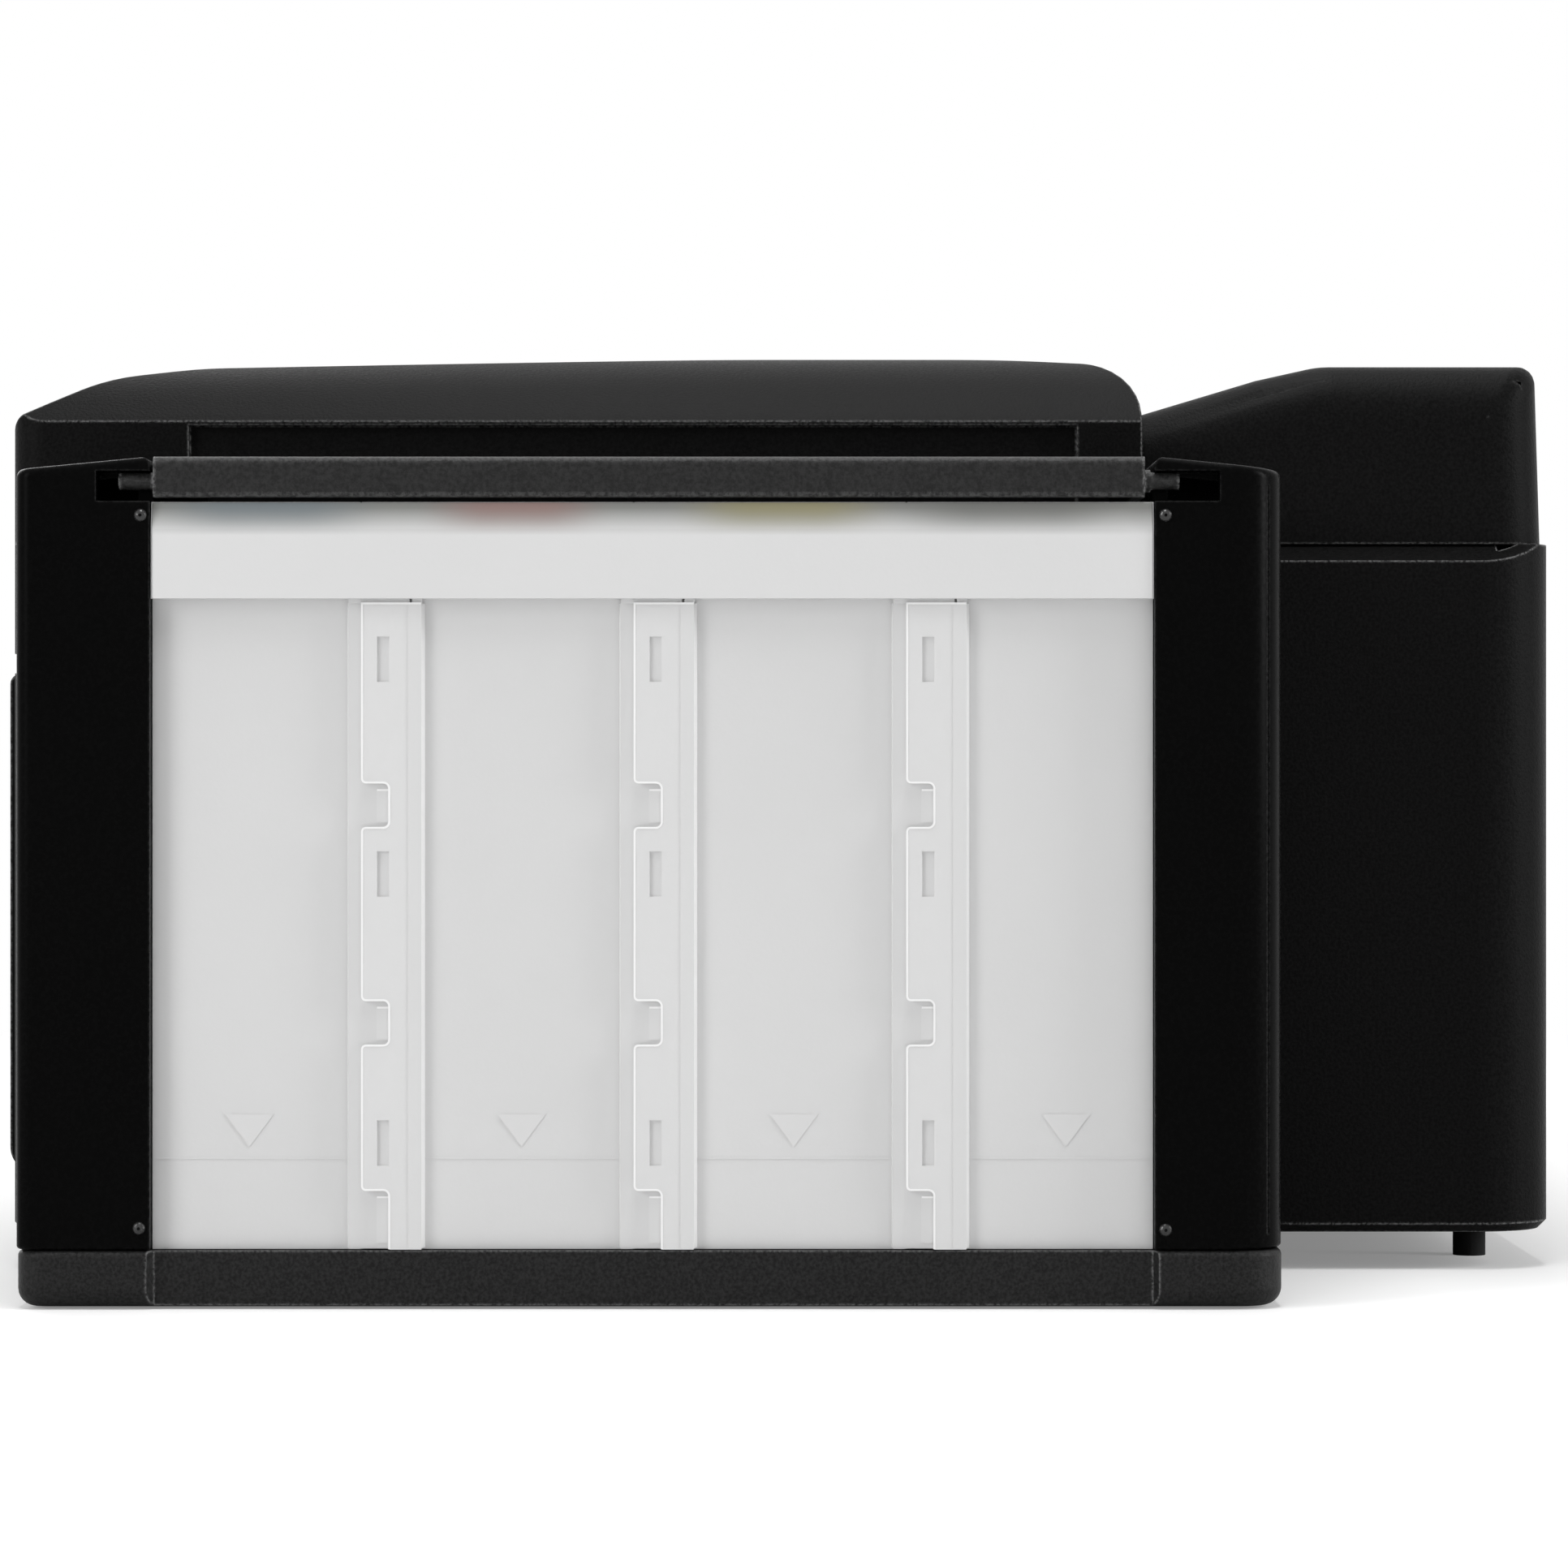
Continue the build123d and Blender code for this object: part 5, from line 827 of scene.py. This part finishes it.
def ribRow():
    low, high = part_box("ribbed_panel")
    front = low[1] + coverRibs["frontSkipMm"] * mm
    rear = high[1] - coverRibs["rearSkipMm"] * mm
    middle = (low[0] + high[0]) / 2
    sizes = {"Count": int((rear - front) / (coverRibs["pitchMm"] * mm)),
             "Length": high[0] - low[0] - 2 * coverRibs["endGapMm"] * mm,
             "Width": coverRibs["widthMm"] * mm, "Height": coverRibs["heightMm"] * mm}
    tree, given, result = geometryTree("ribRow", sizes)
    size = addNode(tree, "ShaderNodeCombineXYZ", {},
                   {"X": given.outputs["Length"], "Y": given.outputs["Width"],
                    "Z": given.outputs["Height"]})
    rib = addNode(tree, "GeometryNodeMeshCube", {}, {"Size": size.outputs["Vector"]})
    line = addNode(tree, "GeometryNodeMeshLine", {"mode": "END_POINTS"},
                   {"Count": given.outputs["Count"],
                    "Start Location": (middle, front, coverRibs["frontTopMm"] * mm),
                    "Offset": (middle, rear, high[2])})
    copies = addNode(tree, "GeometryNodeInstanceOnPoints", {},
                     {"Points": line.outputs["Mesh"], "Instance": rib.outputs["Mesh"]})
    solid = addNode(tree, "GeometryNodeRealizeInstances", {},
                    {"Geometry": copies.outputs["Instances"]})
    painted = addNode(tree, "GeometryNodeSetMaterial", {},
                      {"Geometry": solid.outputs["Geometry"], "Material": plastics["panelAbs"]})
    tree.links.new(painted.outputs["Geometry"], result.inputs["Geometry"])
    return bakedPiece("coverRibs", tree, sizes, plastics["panelAbs"], "cover")


ribRow()
print("ribs laid on the cover")


# Studio: pale paper floor, soft lamps, and the camera where the photograph was taken
cameraSetup = dict(placeMm=(955.0, 0.6, 69.5), turnDegrees=(90, 0, 90), lens=125.1, sensor=36.0,
                   nearest=0.01)
floorLook = dict(size=8, dark="#E6E6E6", light="#EEEEEE", hazeScale=4.0, roughness=0.9,
                 fadeStart=0.34, fadeEnd=0.6, lift=0.22)
lamps = {
    "overheadLamp": dict(place=(0.2, 0.0, 1.2), target=(0.05, 0, 0.05), size=(0.35, 1.1),
                         power=9.8),
    "frontLamp": dict(place=(1.0, -1.1, 0.6), target=(0.1, 0, 0.06), size=(0.5, 0.9), power=8.4),
    "rearLamp": dict(place=(0.45, 1.4, 0.55), target=(0.15, 0.05, 0.06), size=(0.25, 0.9),
                     power=13),
    "leftLamp": dict(place=(-1.2, -0.7, 0.8), target=(-0.1, 0, 0.06), size=(0.9, 0.9), power=8),
}
worldLight = 0.28
white = (1, 1, 1, 1)


def placeCamera():
    scene = bpy.context.scene
    scene.view_settings.view_transform = "Standard"
    cameraData = bpy.data.cameras.new("photoCamera")
    cameraData.lens = cameraSetup["lens"]
    cameraData.sensor_width = cameraSetup["sensor"]
    cameraData.clip_start = cameraSetup["nearest"]
    camera = bpy.data.objects.new("photoCamera", cameraData)
    scene.collection.objects.link(camera)
    camera.location = [value * mm for value in cameraSetup["placeMm"]]
    camera.rotation_euler = [math.radians(turn) for turn in cameraSetup["turnDegrees"]]
    scene.camera = camera


def layFloor():
    bpy.ops.mesh.primitive_plane_add(size=floorLook["size"], location=(0, 0, 0))
    floor = bpy.context.object
    floor.name = "studioFloor"
    material, tree, shader, place = startMaterial("paperFloor")
    haze = addNode(tree, "ShaderNodeTexNoise", {},
                   {"Vector": place.outputs["Object"], "Scale": floorLook["hazeScale"]})
    mix = addNode(tree, "ShaderNodeMix", {"data_type": "RGBA"}, {"Factor": haze.outputs["Fac"]})
    mix.inputs[6].default_value = linearColour(floorLook["dark"])
    mix.inputs[7].default_value = linearColour(floorLook["light"])
    tree.links.new(mix.outputs[2], shader.inputs["Base Color"])
    shader.inputs["Roughness"].default_value = floorLook["roughness"]
    # The paper turns into plain white away from the printer; close by it keeps the shadow
    rays = addNode(tree, "ShaderNodeLightPath")
    reach = addNode(tree, "ShaderNodeVectorMath", {"operation": "LENGTH"})
    tree.links.new(place.outputs["Object"], reach.inputs[0])
    fade = addNode(tree, "ShaderNodeMapRange", {"interpolation_type": "SMOOTHSTEP"},
                   {"Value": reach.outputs["Value"], "From Min": floorLook["fadeStart"],
                    "From Max": floorLook["fadeEnd"]})
    seen = addNode(tree, "ShaderNodeMath", {"operation": "MAXIMUM"})
    tree.links.new(rays.outputs["Is Camera Ray"], seen.inputs[0])
    tree.links.new(rays.outputs["Is Glossy Ray"], seen.inputs[1])
    amount = addNode(tree, "ShaderNodeMath", {"operation": "MULTIPLY"})
    tree.links.new(fade.outputs["Result"], amount.inputs[0])
    tree.links.new(seen.outputs[0], amount.inputs[1])
    plain = addNode(tree, "ShaderNodeEmission", {}, {"Color": white, "Strength": 1.0})
    none = addNode(tree, "ShaderNodeEmission", {}, {"Color": white, "Strength": 0.0})
    glow = addNode(tree, "ShaderNodeEmission", {},
                   {"Color": white, "Strength": floorLook["lift"]})
    nearGlow = addNode(tree, "ShaderNodeMixShader", {}, {"Fac": rays.outputs["Is Camera Ray"]})
    tree.links.new(none.outputs["Emission"], nearGlow.inputs[1])
    tree.links.new(glow.outputs["Emission"], nearGlow.inputs[2])
    lit = addNode(tree, "ShaderNodeAddShader")
    tree.links.new(shader.outputs["BSDF"], lit.inputs[0])
    tree.links.new(nearGlow.outputs["Shader"], lit.inputs[1])
    blended = addNode(tree, "ShaderNodeMixShader", {}, {"Fac": amount.outputs[0]})
    tree.links.new(lit.outputs["Shader"], blended.inputs[1])
    tree.links.new(plain.outputs["Emission"], blended.inputs[2])
    tree.links.new(blended.outputs["Shader"], tree.nodes["Material Output"].inputs["Surface"])
    floor.data.materials.append(material)


def hangLamps():
    for name, look in lamps.items():
        data = bpy.data.lights.new(name, "AREA")
        data.shape = "RECTANGLE"
        data.size, data.size_y = look["size"]
        data.energy = look["power"]
        lamp = bpy.data.objects.new(name, data)
        bpy.context.scene.collection.objects.link(lamp)
        lamp.location = look["place"]
        towards = [b - a for a, b in zip(look["place"], look["target"])]
        flat = math.hypot(towards[0], towards[1])
        lamp.rotation_euler = (math.atan2(flat, -towards[2]), 0,
                               math.atan2(towards[1], towards[0]) - math.pi / 2)


def lightWorld():
    # White where the camera, a reflection or clear plastic shows it, and dimmer as a light
    world = bpy.data.worlds.new("paleWorld")
    bpy.context.scene.world = world
    world.use_nodes = True
    tree = world.node_tree
    tree.nodes.clear()
    rays = addNode(tree, "ShaderNodeLightPath")
    dim = addNode(tree, "ShaderNodeBackground", {}, {"Color": white, "Strength": worldLight})
    plain = addNode(tree, "ShaderNodeBackground", {}, {"Color": white, "Strength": 1.0})
    glossy = addNode(tree, "ShaderNodeMath", {"operation": "MAXIMUM"})
    tree.links.new(rays.outputs["Is Camera Ray"], glossy.inputs[0])
    tree.links.new(rays.outputs["Is Glossy Ray"], glossy.inputs[1])
    either = addNode(tree, "ShaderNodeMath", {"operation": "MAXIMUM"})
    tree.links.new(glossy.outputs[0], either.inputs[0])
    tree.links.new(rays.outputs["Is Transmission Ray"], either.inputs[1])
    mixed = addNode(tree, "ShaderNodeMixShader", {}, {"Fac": either.outputs[0]})
    tree.links.new(dim.outputs["Background"], mixed.inputs[1])
    tree.links.new(plain.outputs["Background"], mixed.inputs[2])
    addNode(tree, "ShaderNodeOutputWorld", {}, {"Surface": mixed.outputs["Shader"]})


placeCamera()
layFloor()
hangLamps()
lightWorld()
print("studio built")
